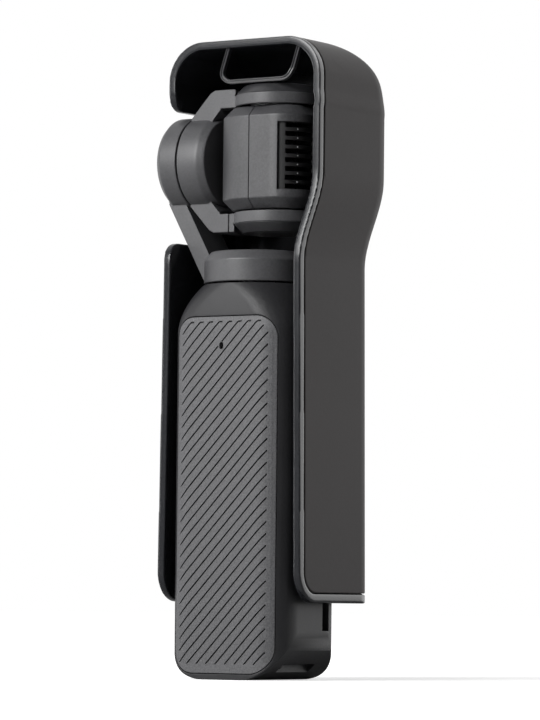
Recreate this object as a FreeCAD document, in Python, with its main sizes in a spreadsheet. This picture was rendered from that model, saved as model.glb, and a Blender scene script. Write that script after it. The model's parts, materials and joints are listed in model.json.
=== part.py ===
import FreeCAD, Part
import math
import os
import Sketcher
from FreeCAD import Placement, Rotation, Vector

# Hand-held gimbal camera, parked in its protective cover, in millimetres.
# +Z runs up the handle from the centre of its base, the screen side is -Y, the grip side +Y,
# and the roll motor stands on the +X side. The pan axis is the Z axis.

doc = FreeCAD.newDocument("gimbal_camera")

# Driving sizes
SIZES = {
    # handle
    "handle_width": 33.0, "handle_depth": 27.4, "handle_corner": 7.6, "shell_wall": 2.0,
    "straight_height": 81.5, "neck_height": 92.4, "neck_radius": 12.4, "base_round": 11.2,
    "cavity_top": 79.0, "motor_well_radius": 10.4,
    # grip plate let into the back
    "grip_half_width": 13.8, "grip_bottom": 1.5, "grip_top": 84.4, "grip_corner": 5.0,
    "grip_foot_corner": 6.0, "grip_thickness": 1.1, "grip_seam": 0.15, "mic_fall": 6.8,
    "mic_across": 0.7,
    "mic_radius": 0.5, "mic_slot": 1.7, "mic_drop": 0.4, "capsule_radius": 1.6,
    "capsule_depth": 1.6,
    # side slot, base recesses, base socket and contacts
    "card_slot_front": 7.1, "card_slot_back": 4.4, "card_slot_bottom": 11.5, "card_slot_top": 25.5,
    "catch_front": 5.6, "catch_back": 7.8, "catch_bottom": 1.6, "catch_top": 3.8, "catch_depth": 5.0,
    "socket_width": 9.0, "socket_height": 3.2, "socket_depth": 7.6, "socket_wall": 0.35,
    "socket_offset": 3.2, "socket_rise": 0.2,
    "tongue_width": 6.7, "tongue_height": 0.7, "tongue_rise": 1.2, "contact_radius": 0.8,
    "contact_pitch": 2.6, "contact_offset": 5.6, "contact_rise": 0.1, "contact_length": 3.0,
    "fit_gap": 0.05,
    # inside the handle
    "frame_bottom": 9.7, "frame_thickness": 1.0, "inner_gap": 0.3, "battery_width": 24.0,
    "battery_depth": 9.6, "battery_height": 54.0, "battery_lift": 1.0, "battery_corner": 1.5,
    "board_width": 26.0, "board_height": 52.0, "board_drop": 1.0, "board_thickness": 1.2,
    "screw_inset": 3.0, "screw_height": 0.9, "screw_head": 1.5,
    "card_socket_length": 13.0, "card_socket_wall": 0.4, "speaker_length": 13.5,
    "speaker_height": 10.0, "speaker_depth": 3.6, "speaker_across": 2.0, "speaker_bottom": 5.5,
    # controls on the front
    "panel_half_width": 12.4, "panel_bottom": 12.0, "panel_top": 30.2, "panel_thickness": 0.8,
    "panel_corner": 2.35, "control_height": 24.6, "record_across": 6.0, "record_radius": 4.2,
    "record_stand": 1.0, "record_travel": 0.4, "record_flange": 4.9, "flange_thickness": 0.8,
    "switch_half": 1.6, "switch_depth": 1.2, "switch_gap": 0.1, "control_board_half": 12.0,
    "control_board_tall": 12.0, "control_board_thickness": 0.8, "stick_across": 6.0,
    "stick_cap_radius": 3.0, "stick_top_radius": 2.4, "stick_edge": 0.6, "stick_dish": 0.25,
    "stick_dish_radius": 1.6, "stick_stem_radius": 1.1, "stick_hole": 2.2, "stick_rise": 2.6,
    "stick_cap_height": 1.8, "stick_pivot_depth": 3.1, "pivot_half": 0.5, "pivot_gap": 0.35,
    "cup_radius": 3.2, "cup_wall": 0.7, "cup_front": 0.9, "cup_floor": 1.0, "cup_back_gap": 0.5,
    "light_height": 15.2, "light_radius": 0.8, "light_recess": 0.05, "button_gap": 0.15,
    # screen that swivels on the front
    "screen_height": 57.0, "screen_half_width": 14.2, "screen_half_length": 24.6,
    "screen_corner": 3.0, "screen_thickness": 5.0, "screen_wall": 0.9, "screen_gap": 0.3,
    "screen_floor": 1.2, "screen_back_round": 0.8, "display_side_margin": 0.85,
    "display_end_margin": 1.55, "display_thickness": 1.4, "driver_inset": 1.5,
    "glass_thickness": 0.8, "swivel_radius": 5.0, "swivel_wall": 1.4, "swivel_length": 4.6,
    "swivel_bush": 6.2, "bush_recess": 0.1, "bush_reach": 1.0, "running_fit": 0.03,
    # pan motor housing and arm
    "pan_gap": 0.4, "ring_top": 100.2, "ring_chamfer": 1.6, "ring_chamfer_height": 2.2,
    "can_wall": 1.2, "arm_half_depth": 5.0, "arm_start": 21.9, "arm_bend": 112.2,
    "arm_foot": 11.2, "arm_thickness": 4.2, "arm_set_back": 0.7, "arm_root": 4.0, "arm_taper": 0.4,
    "ring_wall": 1.7, "ring_roof": 1.6, "motor_base": 1.2, "cable_bore": 0.8, "pan_depth": 8.6,
    # roll motor and roll frame
    "roll_height": 121.8, "roll_radius": 11.1, "roll_gap_at": 15.8, "roll_gap": 0.4,
    "roll_can_end": 22.2, "roll_can_chamfer": 1.2, "roll_can_chamfer_length": 1.5,
    "disc_face": 8.6, "disc_chamfer": 1.0, "disc_chamfer_length": 2.2, "frame_half_height": 16.9,
    "frame_inner_half": 12.5, "frame_shoulder": 10.3, "frame_spine_inner": 9.9,
    "frame_joint": 4.8, "frame_half_depth": 5.0, "frame_room": 14.2, "frame_bar_end": 6.6,
    "frame_corner_x": 7.9, "frame_corner_drop": 0.7, "frame_spine_step": 0.2,
    "frame_spine_drop": 2.8, "frame_spine_start": 4.5, "frame_rim_drop": 0.6,
    "frame_rim_run": 1.2, "frame_rim_lead": 1.0,
    # tilt axis caps
    "tilt_axis": 5.9, "cap_radius": 10.4, "cap_side": 2.7, "cap_chamfer": 2.1, "cap_height": 4.9,
    "cap_wall": 1.1,
    # motors
    "shaft_radius": 2.0, "bearing_radius": 3.2, "stator_radius": 8.0, "rotor_radius": 9.2,
    "rotor_wall": 0.7, "rotor_plate": 0.6, "motor_gap": 0.3, "tilt_stator": 5.8,
    "tilt_rotor": 7.0, "bearing_length": 1.15, "bearing_near": 0.4, "bearing_far": 0.2,
    "bearing_play": 0.02, "hub_wall": 1.0, "roll_slack": 0.2, "pin_seat": 3.0,
    # camera head
    "head_half_height": 12.1, "head_front": 12.6, "head_nose": 11.8, "head_half_depth": 11.0,
    "head_rear": 11.4, "head_front_round": 9.0, "head_rear_round": 7.2, "head_chamfer": 2.4,
    "head_wall": 1.2, "head_seam": 1.3, "seam_gap": 0.12, "lens_radius": 5.4, "lens_wall": 0.7,
    "lens_length": 8.5, "lens_recess": 0.5, "ring_lip": 0.5, "vent_bottom": 7.9,
    "vent_corner": 6.4, "vent_margin": 1.3, "vent_side": 1.8, "vent_depth": 0.7,
    "vent_pitch": 2.05, "vent_slot": 1.15, "sensor_thickness": 1.0, "sensor_half": 7.5,
    "sink_thickness": 2.0,
    # cover
    "cover_bottom": 18.0, "cover_top": 150.2, "cover_foot_half": 20.0, "cover_neck_half": 19.1,
    "cover_head_half": 21.3, "cover_low_rim": 11.1, "cover_high_rim": 6.6, "cover_low_front": 22.0,
    "cover_high_front": 28.0, "cover_bend_start": 97.0, "cover_bend_end": 118.5,
    "cover_corner": 6.5, "hood_corner": 8.3, "hood_side_round": 9.5, "hood_front_round": 17.0,
    "cover_wall": 1.9, "cover_skin": 0.95, "cover_band": 2.1, "cover_band_gap": 0.25,
    "cover_foot_round": 7.2, "notch_bottom": 102.6,
    "notch_top": 134.2, "notch_front": 12.0, "notch_round": 3.5, "notch_corner": 4.5,
    "cradle_width": 20.9, "cradle_centre": 5.0, "cradle_rim": 9.0, "cradle_thickness": 1.0,
    "cradle_bottom": 139.4, "cradle_round": 3.5, "cradle_top_round": 0.5,
    "cradle_tray_front": 8.0, "cradle_tray_inset": 1.0, "shelf_thickness": 1.5,
    "shelf_reach": 14.6, "pad_length": 12.0, "pad_depth": 8.0, "pad_gap": 0.15, "pad_low": 28.0,
    "pad_high": 72.0,
}

# A cutter runs OVER past the face it opens, or FAR past the whole piece.
# A slot's round ends keep a flat of twice SLIVER, and a loft's last ring one of NECK_FLAT.
OVER = 1.0
FAR = 40.0
SLIVER = 0.02
NECK_FLAT = 0.1

sheet = doc.addObject("Spreadsheet::Sheet", "Sizes")


class Size:
    """A length, with the expression that works it out from the sheet."""

    def __init__(self, value, text):
        self.value = value
        self.text = text

    def __add__(self, other):
        other = as_size(other)
        return Size(self.value + other.value, f"({self.text} + {other.text})")

    def __sub__(self, other):
        other = as_size(other)
        return Size(self.value - other.value, f"({self.text} - {other.text})")

    def __mul__(self, other):
        other = as_size(other)
        return Size(self.value * other.value, f"({self.text} * {other.text})")

    def __truediv__(self, other):
        other = as_size(other)
        return Size(self.value / other.value, f"({self.text} / {other.text})")

    def __radd__(self, other):
        return as_size(other) + self

    def __rsub__(self, other):
        return as_size(other) - self

    def __rmul__(self, other):
        return as_size(other) * self

    def __neg__(self):
        return Size(-self.value, f"(0 - {self.text})")

    def root(self):
        return Size(math.sqrt(self.value), f"sqrt({self.text})")


def as_size(item):
    return item if isinstance(item, Size) else Size(float(item), repr(float(item)))


class Store:
    """The sheet's lengths by name."""


s = Store()
for row, (alias, value) in enumerate(SIZES.items(), start=1):
    sheet.set(f"A{row}", alias)
    sheet.set(f"B{row}", str(value))
    sheet.setAlias(f"B{row}", alias)
    setattr(s, alias, Size(value, f"Sizes.{alias}"))
doc.recompute()

pieces = []


def piece(item, label):
    """Names a finished sub-part and lists it for export."""
    item.Label = label
    pieces.append(item)
    return item


def bind(item, prop, size):
    item.setExpression(prop, as_size(size).text)


def put(item, x=0, y=0, z=0):
    """Ties a placement to sizes."""
    x, y, z = as_size(x), as_size(y), as_size(z)
    item.Placement.Base = Vector(x.value, y.value, z.value)
    for axis, size in zip("xyz", (x, y, z)):
        bind(item, f"Placement.Base.{axis}", size)


# Primitives and booleans

def box(name, x, y, z):
    """A block between pairs of limits."""
    item = doc.addObject("Part::Box", name)
    for prop, (low, high) in zip(("Length", "Width", "Height"), (x, y, z)):
        size = as_size(high) - as_size(low)
        setattr(item, prop, size.value)
        bind(item, prop, size)
    put(item, x[0], y[0], z[0])
    return item


TURNS = {"x": Rotation(Vector(0, 1, 0), 90), "y": Rotation(Vector(1, 0, 0), -90),
         "z": Rotation()}


def rod(name, axis, centre, span, radius):
    """A cylinder along an axis, between two limits on that axis."""
    item = doc.addObject("Part::Cylinder", name)
    low, high = as_size(span[0]), as_size(span[1])
    item.Radius = as_size(radius).value
    bind(item, "Radius", radius)
    item.Height = (high - low).value
    bind(item, "Height", high - low)
    item.Placement = Placement(Vector(), TURNS[axis])
    a, b = centre
    put(item, *{"x": (low, a, b), "y": (a, low, b), "z": (a, b, low)}[axis])
    return item


def cut(name, base, *tools):
    item = doc.addObject("Part::Cut", name)
    item.Base = base
    item.Tool = tools[0] if len(tools) == 1 else fuse(name + "_tools", *tools)
    return item


def fuse(name, *shapes):
    item = doc.addObject("Part::MultiFuse", name)
    item.Shapes = list(shapes)
    item.Refine = True
    return item


def group(name, *shapes):
    """Separate solids kept in one node."""
    item = doc.addObject("Part::Compound", name)
    item.Links = list(shapes)
    return item


def common(name, *shapes):
    item = doc.addObject("Part::MultiCommon", name)
    item.Shapes = list(shapes)
    return item


def tube(name, axis, centre, span, inner, outer):
    return cut(name, rod(name + "_rod", axis, centre, span, outer),
               rod(name + "_bore", axis, centre, span, inner))


# Sketched bodies

PLANES = {"z": "XY_Plane", "y": "XZ_Plane", "x": "YZ_Plane"}


def new_body(name):
    return doc.addObject("PartDesign::Body", name)


def new_sketch(body, axis, level=0):
    """A sketch square to an axis, at a level along it."""
    sketch = body.newObject("Sketcher::SketchObject", body.Name + "_sketch")
    plane = [f for f in body.Origin.OriginFeatures if f.Role == PLANES[axis]][0]
    sketch.AttachmentSupport = [(plane, "")]
    sketch.MapMode = "FlatFace"
    level = -as_size(level) if axis == "y" else as_size(level)
    sketch.AttachmentOffset.Base = Vector(0, 0, level.value)
    bind(sketch, "AttachmentOffset.Base.z", level)
    return sketch


def hold(sketch, kind, index, point, size):
    """Ties one coordinate of a sketch point to a size."""
    number = sketch.addConstraint(Sketcher.Constraint(kind, -1, 1, index, point, size.value))
    bind(sketch, f"Constraints[{number}]", size)


def hold_radius(sketch, index, size):
    number = sketch.addConstraint(Sketcher.Constraint("Radius", index, size.value))
    bind(sketch, f"Constraints[{number}]", size)


def draw_circle(sketch, x, y, radius):
    x, y, radius = as_size(x), as_size(y), as_size(radius)
    index = sketch.addGeometry(Part.Circle(Vector(x.value, y.value, 0), Vector(0, 0, 1),
                                           radius.value), False)
    hold(sketch, "DistanceX", index, 3, x)
    hold(sketch, "DistanceY", index, 3, y)
    hold_radius(sketch, index, radius)


def draw_polygon(sketch, points):
    """A closed outline of straight lines whose corners are all tied to sizes."""
    points = [(as_size(a), as_size(b)) for a, b in points]
    count = len(points)
    for i, (a, b) in enumerate(points):
        c, d = points[(i + 1) % count]
        line = Part.LineSegment(Vector(a.value, b.value, 0), Vector(c.value, d.value, 0))
        index = sketch.addGeometry(line, False)
        hold(sketch, "DistanceX", index, 1, a)
        hold(sketch, "DistanceY", index, 1, b)
        if i:
            sketch.addConstraint(Sketcher.Constraint("Coincident", index - 1, 2, index, 1))
    sketch.addConstraint(Sketcher.Constraint("Coincident", count - 1, 2, 0, 1))


def draw_round_box(sketch, x, y, radii):
    """A rectangle with round corners, from the low-low corner anticlockwise."""
    x0, x1, y0, y1 = as_size(x[0]), as_size(x[1]), as_size(y[0]), as_size(y[1])
    if not isinstance(radii, (list, tuple)):
        radii = [radii] * 4
    r = [as_size(item) for item in radii]
    sides = [((x0 + r[0], y0), (x1 - r[1], y0)), ((x1, y0 + r[1]), (x1, y1 - r[2])),
             ((x1 - r[2], y1), (x0 + r[3], y1)), ((x0, y1 - r[3]), (x0, y0 + r[0]))]
    centres = [(x1 - r[1], y0 + r[1]), (x1 - r[2], y1 - r[2]), (x0 + r[3], y1 - r[3]),
               (x0 + r[0], y0 + r[0])]
    for start, end in sides:
        index = sketch.addGeometry(
            Part.LineSegment(Vector(start[0].value, start[1].value, 0),
                             Vector(end[0].value, end[1].value, 0)), False)
        for point, place in ((1, start), (2, end)):
            hold(sketch, "DistanceX", index, point, place[0])
            hold(sketch, "DistanceY", index, point, place[1])
    for i, centre in enumerate(centres):
        radius = r[(i + 1) % 4]
        circle = Part.Circle(Vector(centre[0].value, centre[1].value, 0), Vector(0, 0, 1),
                             radius.value)
        turn = math.radians(90 * i - 90)
        index = sketch.addGeometry(Part.ArcOfCircle(circle, turn, turn + math.pi / 2), False)
        sketch.addConstraint(Sketcher.Constraint("Coincident", i, 2, index, 1))
        sketch.addConstraint(Sketcher.Constraint("Coincident", index, 2, (i + 1) % 4, 1))
        hold_radius(sketch, index, radius)


def pad(body, sketch, length):
    item = body.newObject("PartDesign::Pad", body.Name + "_pad")
    item.Profile = sketch
    item.Length = as_size(length).value
    bind(item, "Length", length)
    return item


def round_prism(name, axis, span, across, up, radii):
    """A bar along an axis with a round-cornered section."""
    body = new_body(name)
    low, high = as_size(span[0]), as_size(span[1])
    sketch = new_sketch(body, axis, high if axis == "y" else low)
    draw_round_box(sketch, across, up, radii)
    pad(body, sketch, high - low)
    return body


def prism(name, axis, span, points):
    """A plate of a straight-sided outline."""
    body = new_body(name)
    low, high = as_size(span[0]), as_size(span[1])
    sketch = new_sketch(body, axis, high if axis == "y" else low)
    draw_polygon(sketch, points)
    pad(body, sketch, high - low)
    return body


def turned(name, axis, centre, profile):
    """A piece turned about an axis, from (radius, place along the axis) points."""
    body = new_body(name)
    if axis == "z":
        sketch = new_sketch(body, "y")
        draw_polygon(sketch, profile)
    else:
        sketch = new_sketch(body, "z")
        draw_polygon(sketch, [(along, radius) for radius, along in profile])
    item = body.newObject("PartDesign::Revolution", name + "_turning")
    item.Profile = sketch
    item.ReferenceAxis = (sketch, ["V_Axis" if axis == "z" else "H_Axis"])
    item.Angle = 360
    put(body, *centre)
    return body


def rounded(body, radius, chosen, kind="Fillet"):
    """Rounds or chamfers the edges of a body that a test picks."""
    doc.recompute()
    base = body.Tip
    names = [f"Edge{i}" for i, edge in enumerate(base.Shape.Edges, start=1) if chosen(edge)]
    item = body.newObject(f"PartDesign::{kind}", f"{body.Name}_{kind.lower()}")
    item.Base = (base, names)
    prop = "Radius" if kind == "Fillet" else "Size"
    setattr(item, prop, as_size(radius).value)
    bind(item, prop, radius)
    body.Tip = item
    doc.recompute()
    return body


def near(value, size, slack=1e-4):
    return abs(value - as_size(size).value) < slack


def level_edge(edge, axis, *levels):
    """True for an edge that lies wholly at one of the levels on an axis."""
    box_of = edge.BoundBox
    low, high = getattr(box_of, f"{axis.upper()}Min"), getattr(box_of, f"{axis.upper()}Max")
    return any(near(low, level, 1e-3) and near(high, level, 1e-3) for level in levels)


# Handle

half_w = s.handle_width / 2
half_d = s.handle_depth / 2
front = -half_d
inner_w = half_w - s.shell_wall
inner_d = half_d - s.shell_wall
inner_front = -inner_d
inner_corner = s.handle_corner - s.shell_wall
mic_height = s.grip_top - s.mic_fall
# Share of the shoulder's height, and share of the way from the bar's section to the neck's
SHOULDER_STEPS = ((0.36, 0.17), (0.66, 0.47), (1.0, 1.0))
CONTACTS = 4


def contact_at(index):
    """Place across the base of one of the contacts, which stand in a row."""
    return s.contact_pitch * (index - (CONTACTS - 1) / 2)


def handle_solid(name, inset):
    """The handle's outer form with a shoulder that draws in to the round neck."""
    body = new_body(name)
    width, depth, corner = half_w - inset, half_d - inset, s.handle_corner - inset
    sketch = new_sketch(body, "z")
    draw_round_box(sketch, (-width, width), (-depth, depth), corner)
    pad(body, sketch, s.straight_height)
    neck = s.neck_radius - inset
    rings = []
    for rise, draw in ((0.0, 0.0),) + SHOULDER_STEPS:
        level = s.straight_height + (s.neck_height - s.straight_height) * rise
        ring = new_sketch(body, "z", level)
        ring_w = width + (neck - width) * draw
        ring_d = depth + (neck - depth) * draw
        ring_r = corner + (neck - NECK_FLAT - corner) * draw
        draw_round_box(ring, (-ring_w, ring_w), (-ring_d, ring_d), ring_r)
        rings.append(ring)
    loft = body.newObject("PartDesign::AdditiveLoft", name + "_shoulder")
    loft.Profile = rings[0]
    loft.Sections = rings[1:]
    loft.Ruled = False
    return body


def handle_form(name, inset):
    base = round_prism(name + "_base", "y", (-half_d - OVER, half_d + OVER),
                       (-half_w + inset, half_w - inset), (inset, s.neck_height + FAR),
                       [s.base_round - inset, s.base_round - inset, OVER, OVER])
    return common(name, handle_solid(name + "_bar", inset), base)


def build_grip_plate():
    """Curved plate let into the back of the handle, with slanting grooves."""
    def window(name, grow):
        return round_prism(name, "y", (inner_d / 2, half_d + OVER),
                           (-s.grip_half_width - grow, s.grip_half_width + grow),
                           (s.grip_bottom - grow, s.grip_top + grow),
                           [s.grip_foot_corner + grow] * 2 + [s.grip_corner + grow] * 2)

    plate = cut("grip_blank", common("grip_skin", handle_form("grip_outer", 0),
                                     window("grip_window", 0)),
                handle_form("grip_inner", s.grip_thickness))
    reach = (inner_d / 2, half_d + OVER)
    run = s.mic_slot / 2 - s.mic_radius
    mic = fuse("mic_hole",
               box("mic_middle", (s.mic_across - s.mic_radius, s.mic_across + s.mic_radius),
                   reach, (mic_height - run, mic_height + run)),
               rod("mic_low", "y", (s.mic_across, mic_height - run), reach, s.mic_radius),
               rod("mic_high", "y", (s.mic_across, mic_height + run), reach, s.mic_radius))
    piece(cut("grip_plate", plate, mic), "grip_plate")
    pocket = cut("grip_pocket", window("grip_pocket_window", s.grip_seam),
                 handle_form("grip_pocket_floor", s.grip_thickness + s.fit_gap))
    return pocket


def build_handle_shell(grip_pocket):
    inner = round_prism("handle_cavity", "z", (s.shell_wall, s.cavity_top),
                        (-inner_w, inner_w), (-inner_d, inner_d), inner_corner)
    base_curve = round_prism("handle_cavity_base", "y", (-half_d, half_d),
                             (-inner_w, inner_w), (s.shell_wall, s.cavity_top + FAR),
                             [s.base_round - s.shell_wall] * 2 + [OVER, OVER])
    cavity = common("handle_hollow", inner, base_curve)
    well = rod("motor_well", "z", (0, 0), (s.cavity_top - OVER, s.neck_height + OVER),
               s.motor_well_radius)
    slot = box("card_slot", (-half_w - OVER, -inner_w + OVER),
               (-s.card_slot_front, -s.card_slot_back), (s.card_slot_bottom, s.card_slot_top))
    depth = half_w - s.catch_depth
    catches = [box(f"catch_{side}", limits, (-s.catch_front, s.catch_back),
                   (s.catch_bottom, s.catch_top))
               for side, limits in (("left", (-half_w - OVER, -depth)),
                                    ("right", (depth, half_w + OVER)))]
    socket_half, socket_tall = s.socket_width / 2 + s.fit_gap, s.socket_height / 2 + s.fit_gap
    floor_cut = (-OVER, s.shell_wall + OVER)
    socket = round_prism("socket_hole", "z", floor_cut, (-socket_half, socket_half),
                         (-s.socket_offset - socket_tall, -s.socket_offset + socket_tall),
                         socket_tall - SLIVER)
    mic_way = rod("mic_way", "y", (s.mic_across, mic_height), (inner_d - OVER, half_d + OVER),
                  s.mic_radius)
    holes = [rod(f"contact_hole_{i}", "z", (contact_at(i), s.contact_offset), floor_cut,
                 s.contact_radius + s.fit_gap) for i in range(CONTACTS)]
    seam = s.grip_seam
    panel = round_prism("panel_pocket", "y", (front - OVER, front + s.panel_thickness + s.fit_gap),
                        (-s.panel_half_width - seam, s.panel_half_width + seam),
                        (s.panel_bottom - seam, s.panel_top + seam), s.panel_corner + seam)
    through = (front - OVER, inner_front + OVER)
    record = rod("record_hole", "y", (s.record_across, s.control_height), through,
                 s.record_radius + s.button_gap)
    stick = rod("stick_hole", "y", (-s.stick_across, s.control_height), through, s.stick_hole)
    light = rod("light_hole", "y", (0, s.light_height), through, s.light_radius + s.fit_gap)
    swivel = rod("swivel_hole", "y", (0, s.screen_height), through, s.swivel_bush + s.fit_gap)
    shell = cut("handle_shell", handle_form("handle_outer", 0), cavity, well, slot, *catches,
                socket, *holes, panel, record, stick, light, swivel, mic_way, grip_pocket)
    piece(shell, "handle_shell")


def build_handle_insides():
    frame_back = s.frame_thickness
    battery_low = s.frame_bottom + s.battery_lift
    piece(box("mid_frame", (-inner_w + s.inner_gap, inner_w - s.inner_gap), (0, frame_back),
              (s.frame_bottom, s.cavity_top - s.inner_gap)), "mid_frame")
    piece(round_prism("battery", "z", (battery_low, battery_low + s.battery_height),
                      (-s.battery_width / 2, s.battery_width / 2),
                      (frame_back, frame_back + s.battery_depth), s.battery_corner), "battery")
    board_low = s.cavity_top - s.board_drop - s.board_height
    piece(box("main_board", (-s.board_width / 2, s.board_width / 2), (-s.board_thickness, 0),
              (board_low, board_low + s.board_height)), "main_board")
    face = -s.board_thickness
    screws = []
    for i, side in enumerate((-1, 1)):
        for j, level in enumerate((board_low + s.screw_inset,
                                   board_low + s.board_height - s.screw_inset)):
            place = (side * (s.board_width / 2 - s.screw_inset), level)
            screws.append(rod(f"screw_{i}_{j}", "y", place, (face - s.screw_height, face),
                              s.screw_head))
    piece(group("board_screws", *screws), "board_screws")
    lip = s.card_socket_wall
    seat = -inner_w + s.inner_gap
    block = box("card_socket_block", (seat, seat + s.card_socket_length),
                (-s.card_slot_front - lip, -s.card_slot_back + lip),
                (s.card_slot_bottom - lip, s.card_slot_top + lip))
    mouth = box("card_socket_mouth", (seat - OVER, seat + s.card_socket_length - lip),
                (-s.card_slot_front + lip, -s.card_slot_back - lip),
                (s.card_slot_bottom + lip, s.card_slot_top - lip))
    piece(cut("card_socket", block, mouth), "card_socket")
    piece(box("speaker", (-s.speaker_length / 2 + s.speaker_across,
                          s.speaker_length / 2 + s.speaker_across),
              (inner_front, inner_front + s.speaker_depth),
              (s.speaker_bottom, s.speaker_bottom + s.speaker_height)), "speaker")
    piece(rod("microphone", "y", (s.mic_across, mic_height - s.mic_drop),
              (inner_d - s.capsule_depth, inner_d), s.capsule_radius), "microphone")


def build_base_parts():
    half, tall = s.socket_width / 2, s.socket_height / 2
    wall, mid = s.socket_wall, -s.socket_offset
    top = s.socket_rise + s.socket_depth
    shell = cut("usb_port_shell",
                round_prism("usb_outer", "z", (s.socket_rise, top), (-half, half),
                            (mid - tall, mid + tall), tall - SLIVER),
                round_prism("usb_inner", "z", (0, top - wall), (-half + wall, half - wall),
                            (mid - tall + wall, mid + tall - wall), tall - wall - SLIVER))
    piece(shell, "usb_port_shell")
    piece(box("usb_tongue", (-s.tongue_width / 2, s.tongue_width / 2),
              (mid - s.tongue_height / 2, mid + s.tongue_height / 2),
              (s.tongue_rise, top - wall)), "usb_tongue")
    pins = [rod(f"contact_{i}", "z", (contact_at(i), s.contact_offset),
                (s.contact_rise, s.contact_length), s.contact_radius) for i in range(CONTACTS)]
    piece(group("base_contacts", *pins), "base_contacts")


def build_controls():
    level = s.control_height
    through = (front - OVER, inner_front + OVER)
    panel_hole = rod("panel_record_hole", "y", (s.record_across, level), through,
                     s.record_radius + s.button_gap)
    stick_hole = rod("panel_stick_hole", "y", (-s.stick_across, level), through, s.stick_hole)
    light_hole = rod("panel_light_hole", "y", (0, s.light_height), through,
                     s.light_radius + s.fit_gap)
    plate = round_prism("panel_blank", "y", (front, front + s.panel_thickness),
                        (-s.panel_half_width, s.panel_half_width),
                        (s.panel_bottom, s.panel_top), s.panel_corner)
    piece(cut("front_panel", plate, panel_hole, stick_hole, light_hole), "front_panel")
    piece(rod("status_light", "y", (0, s.light_height), (front + s.light_recess, inner_front),
              s.light_radius), "status_light")
    flange_front = inner_front + s.record_travel
    flange_back = flange_front + s.flange_thickness
    button = turned("record_blank", "z", (0, 0, 0),
                    [(0, front - s.record_stand), (s.record_radius, front - s.record_stand),
                     (s.record_radius, flange_front), (s.record_flange, flange_front),
                     (s.record_flange, flange_back), (0, flange_back)])
    button.Placement = Placement(Vector(), Rotation(Vector(1, 0, 0), -90))
    put(button, s.record_across, 0, level)
    piece(button, "record_button")
    switch_front = flange_back + s.record_travel + s.switch_gap
    board_front = switch_front + s.switch_depth
    half = s.switch_half
    piece(box("record_switch", (s.record_across - half, s.record_across + half),
              (switch_front, board_front), (level - half, level + half)), "record_switch")
    piece(box("control_board", (-s.control_board_half, s.control_board_half),
              (board_front, board_front + s.control_board_thickness),
              (level - s.control_board_tall / 2, level + s.control_board_tall / 2)),
          "control_board")
    return board_front


def build_joystick(board_front):
    """Thumb stick: a cap on a gimbal ring, in a cup that clicks inwards."""
    centre = (-s.stick_across, s.control_height)
    pivot = front + s.stick_pivot_depth
    top = front - s.stick_rise
    skirt = top + s.stick_cap_height
    stem = s.stick_stem_radius
    cap = turned("joystick_blank", "z", (0, 0, 0),
                 [(0, top + s.stick_dish), (s.stick_dish_radius, top), (s.stick_top_radius, top),
                  (s.stick_cap_radius, top + s.stick_edge), (s.stick_cap_radius, skirt),
                  (stem, skirt), (stem, pivot + s.pivot_half), (0, pivot + s.pivot_half)])
    cap.Placement = Placement(Vector(), Rotation(Vector(1, 0, 0), -90))
    put(cap, -s.stick_across, 0, s.control_height)
    piece(cap, "joystick_cap")
    bore = s.cup_radius - s.cup_wall
    piece(tube("joystick_ring", "y", centre, (pivot - s.pivot_half, pivot + s.pivot_half),
               stem + s.pivot_gap, bore - s.motor_gap), "joystick_ring")
    rim = pivot - s.cup_front
    cup = cut("joystick_cup",
              rod("cup_rod", "y", centre, (rim, board_front - s.cup_back_gap), s.cup_radius),
              rod("cup_bore", "y", centre, (rim - OVER, pivot + s.cup_floor), bore))
    piece(cup, "joystick_cup")


def build_screen():
    back = front - s.screen_gap
    face = back - s.screen_thickness
    half, long = s.screen_half_width, s.screen_half_length
    mid = s.screen_height
    wall = s.screen_wall

    def slab(name, span, inset, radius):
        return round_prism(name, "y", span, (-half + inset, half - inset),
                           (mid - long + inset, mid + long - inset), radius)

    tray = slab("screen_tray", (face, back), 0, s.screen_corner)
    rounded(tray, s.screen_back_round, lambda edge: level_edge(edge, "y", back))
    floor = back - s.screen_floor
    well = slab("screen_well", (face - OVER, floor), wall, s.screen_corner - wall)
    piece(cut("screen_housing", tray, well), "screen_housing")
    glass_back = face + s.glass_thickness
    piece(slab("cover_glass", (face, glass_back), wall + s.fit_gap,
               s.screen_corner - wall - s.fit_gap), "cover_glass")
    panel_back = glass_back + s.display_thickness
    across = half - wall - s.display_side_margin
    tall = long - wall - s.display_end_margin
    piece(box("display_panel", (-across, across), (glass_back, panel_back),
              (mid - tall, mid + tall)), "display_panel")
    across, tall = across - s.driver_inset, tall - s.driver_inset
    piece(box("screen_board", (-across, across), (panel_back, floor),
              (mid - tall, mid + tall)), "screen_board")
    piece(tube("swivel_shaft", "y", (0, mid), (back, back + s.swivel_length),
               s.swivel_radius - s.swivel_wall, s.swivel_radius), "swivel_shaft")
    piece(tube("swivel_bush", "y", (0, mid),
               (front + s.bush_recess, inner_front + s.bush_reach),
               s.swivel_radius + s.running_fit, s.swivel_bush), "swivel_bush")


# Motors: a stator ring on its seat, a rotor bell with its shaft, and a pair of bearings

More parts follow.
